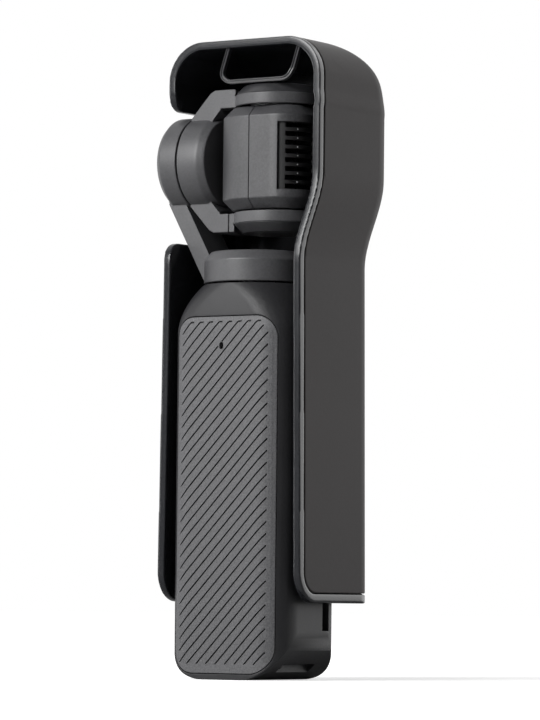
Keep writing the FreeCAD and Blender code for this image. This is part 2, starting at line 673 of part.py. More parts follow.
def motor(name, axis, centre, seat, towards, depth, hub, radii):
    """Motor along an axis. The stator sits at the seat; the bell reaches back from its hub."""
    seat, hub = as_size(seat), as_size(hub)
    stator_radius, rotor_radius = radii

    def span(a, b):
        return (a, b) if a.value < b.value else (b, a)

    far = seat + depth * towards
    plate_near = far + s.motor_gap * towards
    plate_far = plate_near + s.rotor_plate * towards
    rim = seat + s.motor_gap * towards
    piece(tube(name + "_stator", axis, centre, span(seat, far), s.bearing_radius,
               stator_radius), name + "_stator")
    parts = [tube(name + "_bell", axis, centre, span(rim, plate_far),
                  rotor_radius - s.rotor_wall, rotor_radius),
             rod(name + "_plate", axis, centre, span(plate_near, plate_far), rotor_radius),
             rod(name + "_shaft", axis, centre, span(rim, plate_far), s.shaft_radius)]
    if not near(hub.value, plate_far):
        parts.append(rod(name + "_hub", axis, centre, span(plate_far, hub),
                         s.bearing_radius + s.hub_wall))
    piece(fuse(name + "_rotor", *parts), name + "_rotor")
    length = s.bearing_length * towards
    starts = (seat + s.bearing_near * towards, far - s.bearing_far * towards - length)
    rings = [tube(f"{name}_bearing_{i}", axis, centre, span(start, start + length),
                  s.shaft_radius + s.running_fit, s.bearing_radius - s.bearing_play)
             for i, start in enumerate(starts)]
    piece(group(name + "_bearings", *rings), name + "_bearings")


ring_low = s.neck_height + s.pan_gap
roof = s.ring_top - s.ring_roof


def build_pan():
    """Pan motor in the neck. Its bell turns the round foot of the arm."""
    seat = s.cavity_top + s.motor_base
    piece(tube("pan_motor_base", "z", (0, 0), (s.cavity_top, seat), s.cable_bore,
               s.motor_well_radius - s.fit_gap), "pan_motor_base")
    motor("pan", "z", (0, 0), seat, 1, s.pan_depth, roof, (s.stator_radius, s.rotor_radius))


can_open = s.roll_gap_at + s.roll_gap
can_end = s.roll_can_end


def arm_outline():
    """Side view of the arm's band: down from the roll motor, then slanting to the neck."""
    outer_x, bend, foot = s.arm_start, s.arm_bend, s.arm_foot
    run = outer_x - foot
    drop = bend - ring_low
    across = s.arm_thickness * (run * run + drop * drop).root() / drop
    inner_top = can_open + s.arm_set_back
    inner_bend = bend - (outer_x - across - inner_top) * drop / run
    foot_top = s.ring_top - s.ring_chamfer_height
    inner_foot = outer_x - across - (bend - foot_top) * run / drop
    root_level = s.roll_height - s.arm_root
    return [(foot, ring_low), (outer_x, bend), (outer_x - s.arm_taper, root_level),
            (inner_top, root_level), (inner_top, inner_bend), (inner_foot, foot_top),
            (inner_foot, ring_low)]


def build_yaw_arm():
    """Foot ring, slanting arm and roll motor can in one casting."""
    ring = turned("pan_ring", "z", (0, 0, 0),
                  [(0, ring_low), (s.neck_radius, ring_low),
                   (s.neck_radius, s.ring_top - s.ring_chamfer_height),
                   (s.neck_radius - s.ring_chamfer, s.ring_top), (0, s.ring_top)])
    band = prism("arm_band", "y", (-s.arm_half_depth, s.arm_half_depth), arm_outline())
    can = turned("roll_can", "x", (0, 0, s.roll_height),
                 [(0, can_open), (s.roll_radius, can_open),
                  (s.roll_radius, can_end - s.roll_can_chamfer_length),
                  (s.roll_radius - s.roll_can_chamfer, can_end), (0, can_end)])
    ring_bore = rod("ring_bore", "z", (0, 0), (ring_low - OVER, roof), s.neck_radius - s.ring_wall)
    can_bore = rod("can_bore", "x", (0, s.roll_height), (can_open - OVER, can_end - s.can_wall),
                   s.roll_radius - s.can_wall)
    piece(cut("yaw_arm", fuse("arm_casting", ring, band, can), ring_bore, can_bore), "yaw_arm")
    seat = can_end - s.can_wall
    depth = seat - can_open - s.motor_gap - s.rotor_plate - s.roll_slack
    motor("roll", "x", (0, s.roll_height), seat, -1, depth, s.roll_gap_at,
          (s.stator_radius, s.rotor_radius))


tilt_x = -s.tilt_axis
mid_z = s.roll_height


def build_roll_frame():
    """C-shaped frame between the roll motor and the two caps of the tilt axis."""
    def up(size):
        return mid_z + size

    def down(size):
        return mid_z - size

    top, inner = s.frame_half_height, s.frame_inner_half
    right = s.roll_gap_at
    knee = s.frame_shoulder
    spine = s.frame_spine_inner
    reach = top - s.frame_rim_lead - (right - knee)
    outline = []
    for side in (down, up):
        half = [(tilt_x, side(inner)), (s.frame_bar_end, side(inner)),
                (s.frame_corner_x, side(inner - s.frame_corner_drop)),
                (spine - s.frame_spine_step, side(inner - s.frame_spine_drop)),
                (spine, side(inner - s.frame_spine_start))]
        rim = [(right, side(reach)), (knee, side(top - s.frame_rim_drop)),
               (knee - s.frame_rim_run, side(top)), (tilt_x, side(top))]
        outline.append(half + rim)
    low_half, low_rim = outline[0][:5], outline[0][5:]
    high_half, high_rim = outline[1][:5], outline[1][5:]
    points = (low_rim[::-1] + high_rim + high_half + low_half[::-1])
    plate = prism("frame_plate", "y", (-s.frame_half_depth, s.frame_half_depth), points)
    disc = turned("frame_disc", "x", (0, 0, mid_z),
                  [(0, s.disc_face), (s.roll_radius - s.disc_chamfer, s.disc_face),
                   (s.roll_radius, s.disc_face + s.disc_chamfer_length), (s.roll_radius, right),
                   (0, right)])
    step = inner + s.cap_side
    room = rod("frame_room", "z", (tilt_x, 0), (down(inner), up(inner)), s.frame_room)
    cup = rod("frame_cup", "z", (tilt_x, 0), (up(inner), up(step)), s.cap_radius)
    lid_room = rod("frame_lid_room", "z", (tilt_x, 0), (up(step), up(FAR)),
                   s.cap_radius + s.fit_gap)
    cup_bore = rod("frame_cup_bore", "z", (tilt_x, 0), (up(inner - OVER), up(step + OVER)),
                   s.cap_radius - s.cap_wall)
    low_room = box("frame_low_room", (-FAR, s.frame_joint + s.seam_gap), (-FAR, FAR),
                   (down(FAR), down(inner - s.frame_spine_drop)))
    piece(cut("roll_frame", fuse("frame_whole", plate, disc, cup), room, lid_room, cup_bore,
              low_room), "roll_frame")
    stub = box("lower_stub", (tilt_x, s.frame_joint), (-s.frame_half_depth, s.frame_half_depth),
               (down(top), down(inner)))
    low_cup = rod("lower_cup", "z", (tilt_x, 0), (down(step), down(inner)), s.cap_radius)
    low_bore = rod("lower_cup_bore", "z", (tilt_x, 0), (down(step), down(inner - OVER)),
                   s.cap_radius - s.cap_wall)
    low_lid = rod("lower_lid_room", "z", (tilt_x, 0), (down(FAR), down(step)),
                  s.cap_radius + s.fit_gap)
    piece(cut("lower_bracket", fuse("lower_whole", stub, low_cup), low_bore, low_lid),
          "lower_bracket")


def build_caps():
    """Lids of the two cups on the tilt axis, chamfered all round."""
    base, peak = s.frame_inner_half + s.cap_side, s.frame_inner_half + s.cap_height
    wall, radius, chamfer = s.cap_wall, s.cap_radius, s.cap_chamfer
    for label, way in (("top_cap", 1), ("bottom_cap", -1)):
        lid = turned(label, "z", (tilt_x, 0, 0),
                     [(0, mid_z + (peak - wall) * way),
                      (radius - chamfer - wall, mid_z + (peak - wall) * way),
                      (radius - wall, mid_z + base * way), (radius, mid_z + base * way),
                      (radius - chamfer, mid_z + peak * way), (0, mid_z + peak * way)])
        piece(lid, label)
    seat = mid_z + peak - wall
    head_top = mid_z + s.head_half_height
    depth = seat - head_top - s.motor_gap * 2 - s.rotor_plate
    motor("tilt", "z", (tilt_x, 0), seat, -1, depth, head_top, (s.tilt_stator, s.tilt_rotor))
    low_seat = mid_z - peak + wall
    head_low = mid_z - s.head_half_height
    piece(rod("tilt_pin", "z", (tilt_x, 0), (low_seat + s.motor_gap, head_low), s.shaft_radius),
          "tilt_pin")
    piece(tube("pin_bearing", "z", (tilt_x, 0), (low_seat, low_seat + s.pin_seat),
               s.shaft_radius + s.running_fit, s.bearing_radius + s.hub_wall), "pin_bearing")


# Camera head

VENTS = 8
# Each lens by its distance behind the front end of the barrel and its thickness
LENSES = ((2.1, 1.2), (4.4, 1.6), (7.4, 1.4))
# Share of a lens's thickness at its edge and at its shoulder, and the shoulder's share of its radius
LENS_EDGE, LENS_SHOULDER, LENS_CROWN = 0.55, 0.9, 0.6


def head_form(name, inset):
    """Rounded block about the tilt axis: a round nose with the lens, a squarer rear."""
    low, high = mid_z - s.head_half_height + inset, mid_z + s.head_half_height - inset
    body = round_prism(name, "z", (low, high),
                       (tilt_x - s.head_rear + inset, tilt_x + s.head_front - inset),
                       (-s.head_half_depth + inset, s.head_half_depth - inset),
                       [s.head_rear_round - inset, s.head_front_round - inset,
                        s.head_front_round - inset, s.head_rear_round - inset])
    rounded(body, s.head_chamfer, lambda edge: level_edge(edge, "z", low, high), "Chamfer")
    return body


def build_camera_head():
    seam = tilt_x + s.head_seam
    nose = tilt_x + s.head_nose
    all_y, all_z = (-FAR, FAR), (mid_z - FAR, mid_z + FAR)
    shell = cut("head_hollow", head_form("head_outer", 0), head_form("head_inner", s.head_wall))
    flat = box("head_nose_flat", (nose, FAR), all_y, all_z)
    lens_hole = rod("lens_hole", "x", (0, mid_z), (tilt_x, FAR), s.lens_radius + s.fit_gap)
    front_half = box("front_half", (seam + s.seam_gap / 2, FAR), all_y, all_z)
    rear_half = box("rear_half", (-FAR, seam - s.seam_gap / 2), all_y, all_z)
    piece(cut("head_front_shell", common("head_front_blank", shell, front_half), flat,
              lens_hole), "head_front_shell")
    side = s.head_half_depth - s.head_rear_round - s.vent_side
    vent_end = tilt_x - s.vent_corner
    pocket = cut("vent_pocket",
                 box("vent_zone", (-FAR, vent_end), (side, FAR),
                     (mid_z - s.vent_bottom, mid_z + s.vent_bottom)),
                 head_form("vent_floor", s.vent_depth))
    slots = []
    for i in range(VENTS):
        level = mid_z + s.vent_pitch * (i - (VENTS - 1) / 2)
        slots.append(box(f"vent_slot_{i}", (-FAR, vent_end - s.vent_margin), (side, FAR),
                         (level - s.vent_slot / 2, level + s.vent_slot / 2)))
    piece(cut("head_rear_shell", common("head_rear_blank", shell, rear_half), pocket, *slots),
          "head_rear_shell")
    lens_end = nose - s.lens_recess
    lens_start = nose - s.lens_length
    barrel = tube("lens_barrel", "x", (0, mid_z), (lens_start, lens_end),
                  s.lens_radius - s.lens_wall, s.lens_radius)
    piece(barrel, "lens_barrel")
    piece(tube("lens_ring", "x", (0, mid_z), (lens_end, nose),
               s.lens_radius - s.lens_wall - s.ring_lip, s.lens_radius), "lens_ring")
    glass = s.lens_radius - s.lens_wall - s.fit_gap
    lenses = []
    for i, (behind, thick) in enumerate(LENSES):
        back = lens_end - behind
        lenses.append(turned(f"lens_{i}", "x", (0, 0, mid_z),
                             [(0, back), (glass, back), (glass, back + thick * LENS_EDGE),
                              (glass * LENS_CROWN, back + thick * LENS_SHOULDER),
                              (0, back + thick)]))
    piece(group("lens_elements", *lenses), "lens_elements")
    board_front = lens_start
    piece(box("sensor_board", (board_front - s.sensor_thickness, board_front),
              (-s.sensor_half, s.sensor_half), (mid_z - s.sensor_half, mid_z + s.sensor_half)),
          "sensor_board")
    piece(box("heat_sink", (board_front - s.sensor_thickness - s.sink_thickness,
                            board_front - s.sensor_thickness),
              (-s.sensor_half, s.sensor_half), (mid_z - s.sensor_half, mid_z + s.sensor_half)),
          "heat_sink")


# Cover: an open channel with a hood, a soft skin over a liner with a bare rim

def blend(low, high, share):
    """Smooth step from one size to another."""
    return low + (high - low) * (share * share * (3 - 2 * share))


def cover_station(level, share, grow, back_grow, side_draw=0.0, front_draw=0.0):
    """Section of the cover at a level: open side at the back, round front corners."""
    foot = (s.cover_bend_start - level) / (s.cover_bend_start - s.cover_bottom)
    neck_half = s.cover_neck_half + (s.cover_foot_half - s.cover_neck_half) * foot
    half = blend(neck_half if share == 0 else s.cover_neck_half, s.cover_head_half, share) + grow
    front_y = -blend(s.cover_low_front, s.cover_high_front, share) - grow
    back_y = blend(s.cover_low_rim, s.cover_high_rim, share) + back_grow
    radius = blend(s.cover_corner, s.hood_corner, share) + grow
    h, f, b, r, z = half.value, front_y.value, back_y.value, radius.value, level.value
    h, f = h - side_draw, f + front_draw
    k = r * (1 - math.sqrt(0.5))
    edges = [Part.makeLine(Vector(h, b, z), Vector(-h, b, z)),
             Part.makeLine(Vector(-h, b, z), Vector(-h, f + r, z)),
             Part.Arc(Vector(-h, f + r, z), Vector(-h + k, f + k, z),
                      Vector(-h + r, f, z)).toShape(),
             Part.makeLine(Vector(-h + r, f, z), Vector(h - r, f, z)),
             Part.Arc(Vector(h - r, f, z), Vector(h - k, f + k, z),
                      Vector(h, f + r, z)).toShape(),
             Part.makeLine(Vector(h, f + r, z), Vector(h, b, z))]
    return Part.Wire(edges)


# Heights of the sections through the bend, as shares of it, and round the hood, as angles
BEND_SHARES = (0.0, 0.12, 0.28, 0.5, 0.72, 0.88, 1.0)
HOOD_ANGLES = (0, 13, 26, 38, 50, 60, 69, 77, 84, 90)
# How far a block that hollows the cover runs past its open sides
BEYOND = 8.0


def drawn_in(height, radius):
    """How far a quarter round of this radius has drawn in at a height above its start."""
    if height <= 0:
        return 0.0
    return radius - math.sqrt(max(radius * radius - height * height, 0.0))


def hood_stations(grow, back_grow):
    """Sections round the hood: the front draws in over a larger round than the sides."""
    top = s.cover_top.value + grow.value
    side, front = s.hood_side_round.value + grow.value, s.hood_front_round.value + grow.value
    sections = []
    for angle in HOOD_ANGLES:
        rise = front * math.sin(math.radians(angle))
        sections.append(cover_station(as_size(top - front + rise), 1, grow, back_grow,
                                      drawn_in(rise - front + side, side),
                                      drawn_in(rise, front)))
    return sections


def cover_block(grow, back_grow, bottom):
    """Solid of the cover's outline, grown by a step, from a level up to the roof."""
    grow = as_size(grow)
    start, end = s.cover_bend_start, s.cover_bend_end
    hood = hood_stations(grow, back_grow)
    low = Part.makeLoft([cover_station(bottom, 0, grow, back_grow),
                         cover_station(start, 0, grow, back_grow)], True, True)
    bend = Part.makeLoft([cover_station(start + (end - start) * t, t, grow, back_grow)
                          for t in BEND_SHARES], True, False)
    high = Part.makeLoft([cover_station(end, 1, grow, back_grow), hood[0]], True, True)
    roof = Part.makeLoft(hood, True, False)
    return low.fuse([bend, high, roof]).removeSplitter()


def foot_trim(bottom, rim, radius):
    """Cutter that rounds the lower rear corners of the side walls."""
    z, y, r = bottom.value, rim.value, radius.value
    block = Part.makeBox(2 * FAR, r + FAR, r + FAR, Vector(-FAR, y - r, z - FAR))
    keep = Part.makeCylinder(r, 2 * FAR, Vector(-FAR, y - r, z + r), Vector(1, 0, 0))
    return block.cut(keep)


def corner_trim(level, way, rim, radius):
    """Cutter that rounds the corner between the notch's edge and the rim."""
    y, z, r = rim - radius, level + way * radius, radius
    block = Part.makeBox(FAR, r + FAR, r, Vector(0, y, min(level, z)))
    return block.cut(Part.makeCylinder(r, FAR, Vector(0, y, z), Vector(1, 0, 0)))


def notch_cutter(grow):
    """Opening in the side wall for the roll motor, rounded where it meets the rim."""
    low, high = s.notch_bottom.value - grow, s.notch_top.value + grow
    front_y = -s.notch_front.value - grow
    block = Part.makeBox(FAR, FAR, high - low, Vector(0, front_y, low))
    edges = [e for e in block.Edges if near(e.BoundBox.XLength, FAR)
             and near(e.Vertexes[0].Point.y, front_y)]
    block = block.makeFillet(s.notch_round.value, edges)
    low_rim = blend(s.cover_low_rim, s.cover_high_rim,
                    (s.notch_bottom - s.notch_corner - s.cover_bend_start)
                    / (s.cover_bend_end - s.cover_bend_start))
    radius = s.notch_corner.value - grow
    return block.fuse([corner_trim(low, -1, low_rim.value - grow, radius),
                       corner_trim(high, 1, s.cover_high_rim.value - grow, radius)])


def solid_feature(name, shape):
    item = doc.addObject("Part::Feature", name)
    item.Shape = shape
    item.Placement = Placement()
    return item


def build_cover():
    wall, skin, band = s.cover_wall, s.cover_skin, s.cover_band
    bottom = s.cover_bottom
    past = as_size(BEYOND)
    outer = cover_block(0, 0, bottom)
    inner = cover_block(-wall, past, bottom - past)
    notch = notch_cutter(0)
    whole = outer.cut([inner, foot_trim(bottom, s.cover_low_rim, s.cover_foot_round), notch])
    edge = band + s.cover_band_gap
    skin_back = cover_block(0, -edge, bottom + edge)
    middle = cover_block(-skin, past, bottom - past)
    trim = foot_trim(bottom + edge, s.cover_low_rim - edge, s.cover_foot_round - edge)
    shell = skin_back.cut([middle, trim, notch_cutter(edge.value)])
    band_block = cover_block(OVER, -band, bottom + band)
    core = cover_block(-(skin + s.fit_gap), past, bottom - past)
    trim = foot_trim(bottom + band, s.cover_low_rim - band, s.cover_foot_round - band)
    skin_room = band_block.cut([core, trim, notch_cutter(band.value)])
    liner = whole.cut(skin_room)
    shelf = Part.makeBox(2 * FAR, FAR, s.shelf_thickness.value,
                         Vector(-FAR, -FAR - s.shelf_reach.value, bottom.value))
    liner = liner.fuse(shelf.common(inner)).removeSplitter()
    piece(solid_feature("cover_shell", shell), "cover_shell")
    piece(solid_feature("cover_liner", liner), "cover_liner")


def build_cradle():
    """U-shaped bracket under the hood that stands guard over the parked head."""
    left = -s.cradle_centre - s.cradle_width / 2
    right = -s.cradle_centre + s.cradle_width / 2
    roof_low = s.cover_top - s.cover_wall
    t = s.cradle_thickness
    ring_back = s.cradle_rim
    low_round, high_round = s.cradle_round, s.cradle_top_round
    outer = round_prism("cradle_outer", "y", (ring_back - t, ring_back), (left, right),
                        (s.cradle_bottom, roof_low), [low_round] * 2 + [high_round] * 2)
    inner = round_prism("cradle_inner", "y", (ring_back - t - OVER, ring_back + OVER),
                        (left + t, right - t), (s.cradle_bottom + t, roof_low - t),
                        [low_round - t] * 2 + [high_round] * 2)
    inset = s.cradle_tray_inset
    tray = box("cradle_tray", (left + inset, right - inset), (-s.cradle_tray_front, ring_back),
               (roof_low - t, roof_low))
    whole = fuse("cradle_whole", cut("cradle_loop", outer, inner), tray)
    doc.recompute()
    room = cover_block(-(s.cover_wall + s.fit_gap), as_size(BEYOND), s.cover_bottom)
    piece(solid_feature("cover_cradle", whole.Shape.common(room)), "cover_cradle")


def build_pads():
    """Soft pads on the liner that grip the handle's sides."""
    pads = []
    for i, level in enumerate((s.pad_low, s.pad_high)):
        top = level + s.pad_length
        share = (s.cover_bend_start - top) / (s.cover_bend_start - s.cover_bottom)
        inside = s.cover_neck_half + (s.cover_foot_half - s.cover_neck_half) * share
        inside = inside - s.cover_wall
        near_face = half_w + s.pad_gap
        pads.append(box(f"pad_left_{i}", (-inside, -near_face),
                        (-s.pad_depth / 2, s.pad_depth / 2), (level, top)))
        pads.append(box(f"pad_right_{i}", (near_face, inside),
                        (-s.pad_depth / 2, s.pad_depth / 2), (level, top)))
    piece(group("cover_pads", *pads), "cover_pads")


build_handle_shell(build_grip_plate())
build_handle_insides()
build_base_parts()
build_joystick(build_controls())
build_screen()
build_pan()
build_yaw_arm()
build_roll_frame()
build_caps()
build_camera_head()
build_cover()
build_cradle()
build_pads()
doc.recompute()

for item in doc.Objects:
    if "Invalid" in item.State or "Error" in item.State:
        raise RuntimeError(f"{item.Label} failed: {item.State}")
for item in pieces:
    if item.Shape.isNull() or not item.Shape.isValid():
        raise RuntimeError(f"{item.Label} has no valid shape")

os.makedirs("parts", exist_ok=True)
for item in pieces:
    item.Shape.exportStep(f"parts/{item.Label}.step")
    box_of = item.Shape.BoundBox
    print(f"{item.Label:18s} {len(item.Shape.Solids)} solids {item.Shape.Volume:9.1f} mm3 "
          f"x {box_of.XMin:.1f} {box_of.XMax:.1f} y {box_of.YMin:.1f} {box_of.YMax:.1f} "
          f"z {box_of.ZMin:.1f} {box_of.ZMax:.1f}")
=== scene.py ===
# %% [markdown]
# A gimbal camera parked in its open-backed protective cover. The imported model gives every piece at
# its real place and size, in metres. This file dresses those pieces: soft edges, grooves, finishes,
# light and a camera. Nothing here moves a piece, because the mechanism has to keep working.

# %% Load the frame
import json
import math

import bmesh
import bpy
from mathutils import Matrix, Vector

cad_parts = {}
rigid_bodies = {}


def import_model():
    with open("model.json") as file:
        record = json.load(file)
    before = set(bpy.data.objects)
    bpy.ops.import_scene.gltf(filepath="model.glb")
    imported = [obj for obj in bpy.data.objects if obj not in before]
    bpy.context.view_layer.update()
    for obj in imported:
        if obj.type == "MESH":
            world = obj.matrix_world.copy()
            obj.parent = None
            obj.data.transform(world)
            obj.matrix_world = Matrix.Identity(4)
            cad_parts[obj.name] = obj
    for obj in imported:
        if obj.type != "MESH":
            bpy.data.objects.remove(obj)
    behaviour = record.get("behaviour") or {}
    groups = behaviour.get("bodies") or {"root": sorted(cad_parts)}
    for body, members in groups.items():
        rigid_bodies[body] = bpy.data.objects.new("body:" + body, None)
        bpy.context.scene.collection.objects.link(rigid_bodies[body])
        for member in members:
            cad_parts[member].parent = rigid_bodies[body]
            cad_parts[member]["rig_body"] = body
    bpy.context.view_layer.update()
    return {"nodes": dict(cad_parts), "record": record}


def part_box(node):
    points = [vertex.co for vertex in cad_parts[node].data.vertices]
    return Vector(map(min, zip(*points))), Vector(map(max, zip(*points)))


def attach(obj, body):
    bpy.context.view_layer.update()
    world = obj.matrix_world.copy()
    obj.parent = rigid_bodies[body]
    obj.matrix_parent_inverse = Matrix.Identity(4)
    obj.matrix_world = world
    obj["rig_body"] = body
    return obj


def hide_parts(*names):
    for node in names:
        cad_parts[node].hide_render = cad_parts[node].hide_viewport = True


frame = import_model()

nodes = frame["nodes"]

# %% [markdown]
# Units. A maker thinks of this object in millimetres, Blender here works in metres, and a texture's
# scale counts features per metre. Two small functions turn one into the other, so that every size
# below can be read as a real one.

# %% Units
MM = 0.001


def per_metre(size_mm):
    """Texture scale that makes one feature about this many millimetres wide."""
    return 1.0 / (size_mm * MM)


# %% [markdown]
# The camera. The photograph was taken with a long lens from behind and slightly below, so the
# verticals stay parallel and the underside of the hood shows. The angles, the distance and the
# focal length below come from matching the object's corners in the picture. A slight shift of the
# lens places the object left of the middle, as it is framed there.

# %% The photograph's camera
VIEW_TURN, VIEW_RISE, VIEW_ROLL = 33.42, -3.27, 0.61
VIEW_DISTANCE = 1010.7 * MM
VIEW_TARGET = Vector((0.0, 0.0, 74.95 * MM))
FOCAL_PIXELS, PICTURE_HEIGHT, PICTURE_SHIFT = 4296.0, 720, 14.07
SENSOR_MM = 36.0


def view_axes():
    """Right, up and backward directions of the camera."""
    turn, rise, roll = (math.radians(v) for v in (VIEW_TURN, VIEW_RISE, VIEW_ROLL))
    back = Vector((-math.sin(turn) * math.cos(rise), math.cos(turn) * math.cos(rise),
                   math.sin(rise)))
    side = Vector((-math.cos(turn), -math.sin(turn), 0.0))
    up = back.cross(side)
    right = side * math.cos(roll) + up * math.sin(roll)
    return right, back.cross(right), back


right, up, back = view_axes()
lens = bpy.data.cameras.new("studio_camera")
lens.sensor_width = SENSOR_MM
lens.lens = SENSOR_MM * FOCAL_PIXELS / PICTURE_HEIGHT
lens.shift_x = PICTURE_SHIFT / PICTURE_HEIGHT
lens.dof.use_dof = False
lens.clip_start, lens.clip_end = 0.05, 20.0
camera = bpy.data.objects.new("studio_camera", lens)
axes = Matrix((right, up, back)).transposed()
camera.matrix_world = Matrix.Translation(VIEW_TARGET + back * VIEW_DISTANCE) @ axes.to_4x4()
bpy.context.scene.collection.objects.link(camera)
bpy.context.scene.camera = camera
print("camera at", [round(v, 3) for v in camera.location], "lens", round(lens.lens, 1))

# %% [markdown]
# Colour and nodes. Colours are written as a designer reads them off a swatch, in sRGB hex, and one
# function turns them to the linear values that a shader works in. A second function adds a node
# with its settings and links, so a finish below reads as a short recipe.

# %% Colour and node helpers


def linear(swatch):
    """Linear colour of an sRGB hex value."""
    shares = [int(swatch[i:i + 2], 16) / 255 for i in (1, 3, 5)]
    return [s / 12.92 if s <= 0.04045 else ((s + 0.055) / 1.055) ** 2.4 for s in shares] + [1.0]


def add(tree, kind, sets=None, links=None, **settings):
    """Adds a node with its settings, its sockets' values and its links."""
    node = tree.nodes.new(kind)
    for name, value in settings.items():
        setattr(node, name, value)
    for socket, value in (sets or {}).items():
        node.inputs[socket].default_value = value
    for socket, source in (links or {}).items():
        tree.links.new(source, node.inputs[socket])
    return node


def blank(name):
    """A material with an empty node tree, its output and the object's own coordinates."""
    material = bpy.data.materials.new(name)
    material.use_nodes = True
    tree = material.node_tree
    tree.nodes.clear()
    place = add(tree, "ShaderNodeTexCoord").outputs["Object"]
    return material, tree, place


# %% [markdown]
# Moulded plastics and painted metals share one recipe. A slow noise drifts the colour a little, as
# resin and paint do. A fine noise is the spark-eroded grain of the mould, or the grit in the paint:
# it shades the colour slightly, roughens the gloss and lifts the surface through a bump. Real
# grain is near a tenth of a millimetre; it is drawn a little coarser so that it shows at this
# distance.

# %% Grained surface


def grained(name, dark, light, roughness, ior, grain_mm, lift_mm, drift_mm=14.0, contrast=0.5,
            metallic=0.0, spread=0.06, shine=0.5):
    """Surface between two close colours with a fine grain."""
    material, tree, place = blank(name)
    drift = add(tree, "ShaderNodeTexNoise", {"Scale": per_metre(drift_mm), "Detail": 2.0},
                {"Vector": place})
    grain = add(tree, "ShaderNodeTexNoise",
                {"Scale": per_metre(grain_mm), "Detail": 3.0, "Roughness": 0.65},
                {"Vector": place})
    blend = add(tree, "ShaderNodeMix", {"Factor": contrast}, {}, data_type="FLOAT")
    tree.links.new(drift.outputs["Fac"], blend.inputs["A"])
    tree.links.new(grain.outputs["Fac"], blend.inputs["B"])
    share = add(tree, "ShaderNodeMapRange", {"From Min": 0.3, "From Max": 0.7},
                {"Value": blend.outputs["Result"]})
    colour = add(tree, "ShaderNodeMix", {"A": linear(dark), "B": linear(light)}, {},
                 data_type="RGBA")
    tree.links.new(share.outputs["Result"], colour.inputs[0])
    gloss = add(tree, "ShaderNodeMapRange",
                {"From Min": 0.3, "From Max": 0.7, "To Min": roughness - spread,
                 "To Max": roughness + spread}, {"Value": grain.outputs["Fac"]})
    bump = add(tree, "ShaderNodeBump", {"Strength": 1.0, "Distance": lift_mm * MM},
               {"Height": grain.outputs["Fac"]})
    shader = add(tree, "ShaderNodeBsdfPrincipled",
                 {"Metallic": metallic, "IOR": ior, "Specular IOR Level": shine},
                 {"Base Color": colour.outputs["Result"], "Roughness": gloss.outputs["Result"],
                  "Normal": bump.outputs["Normal"]})
    add(tree, "ShaderNodeOutputMaterial", {}, {"Surface": shader.outputs["BSDF"]})
    return material


# %% [markdown]
# The case is black-grey polycarbonate moulded in a finely eroded tool: matt, with soft broad
# highlights, weaker than smooth plastic gives, because the grain scatters them. The arm and the
# frame are die-cast alloy under textured paint, a shade lighter and slightly tighter in gloss. The
# head is the same paint with a coarser grit that sparkles. The moulded nylon inside is near black.
# The floor of the vents' pocket is near black as well: painted shade of the recess.

# %% Case, arm and head finishes
case_finish = grained("polycarbonate_eroded", "#1f1f21", "#2a2a2c", 0.5, 1.58, 0.5, 0.012,
                       shine=0.28)
arm_finish = grained("textured_paint_on_casting", "#3c3c3e", "#505052", 0.46, 1.5, 0.55, 0.016)
cap_finish = grained("fine_paint_on_turned_cap", "#2a2a2c", "#363638", 0.36, 1.5, 0.5, 0.008)
head_finish = grained("gritty_paint_on_shell", "#2e2e30", "#464648", 0.44, 1.5, 0.6, 0.025,
                      contrast=0.7)
inner_finish = grained("moulded_nylon_black", "#111112", "#19191a", 0.55, 1.53, 0.4, 0.01)
# Near-black material for the floor of the vents' pocket: painted shade of the recess.
vent_shade_finish = grained("vent_pocket_painted_shade", "#0d0d0e", "#141415", 0.5, 1.5, 0.5, 0.01)
print("finishes", [m.name for m in (case_finish, arm_finish, cap_finish, head_finish)])

# %% [markdown]
# The grip plate is a softer, lighter polymer with a dry hand. Its ridges lean a little, like laid
# slates, so each one carries a faint gradient between two grooves. The grooves themselves are cut
# into the mesh further down; the lean is a gentle saw-toothed bump along the same slope.

# %% Grip plate finish
GROOVE_PITCH = 1.906
GROOVE_SLOPE = math.radians(45.9)
GROOVE_RISE = GROOVE_PITCH / math.cos(GROOVE_SLOPE)
GROOVE_LOWEST = -17.0


def grip_material():
    material, tree, place = blank("glass_filled_polymer_dry")
    at = add(tree, "ShaderNodeSeparateXYZ", {}, {"Vector": place})
    level = add(tree, "ShaderNodeMath", {1: math.tan(GROOVE_SLOPE)},
                {0: at.outputs["X"], 2: at.outputs["Z"]}, operation="MULTIPLY_ADD")
    raised = add(tree, "ShaderNodeMath", {1: -GROOVE_LOWEST * MM}, {0: level.outputs["Value"]},
                 operation="ADD")
    counted = add(tree, "ShaderNodeMath", {1: per_metre(GROOVE_RISE)},
                  {0: raised.outputs["Value"]}, operation="MULTIPLY")
    ramp = add(tree, "ShaderNodeMath", {}, {0: counted.outputs["Value"]}, operation="FRACT")
    grain = add(tree, "ShaderNodeTexNoise",
                {"Scale": per_metre(0.35), "Detail": 3.0, "Roughness": 0.65}, {"Vector": place})
    shade = add(tree, "ShaderNodeMapRange", {"From Min": 0.3, "From Max": 0.7},
                {"Value": grain.outputs["Fac"]})
    colour = add(tree, "ShaderNodeMix", {"A": linear("#414143"), "B": linear("#646466")},
                 {0: shade.outputs["Result"]}, data_type="RGBA")
    lift = add(tree, "ShaderNodeMath", {1: 0.3}, {0: grain.outputs["Fac"]},
               operation="MULTIPLY")
    height = add(tree, "ShaderNodeMath", {}, {0: ramp.outputs["Value"],
                                              1: lift.outputs["Value"]}, operation="ADD")
    bump = add(tree, "ShaderNodeBump", {"Strength": 0.6, "Distance": 0.08 * MM},
               {"Height": height.outputs["Value"]})
    shader = add(tree, "ShaderNodeBsdfPrincipled", {"Roughness": 0.55, "IOR": 1.5},
                 {"Base Color": colour.outputs["Result"], "Normal": bump.outputs["Normal"]})
    add(tree, "ShaderNodeOutputMaterial", {}, {"Surface": shader.outputs["BSDF"]})
    return material


grip_finish = grip_material()

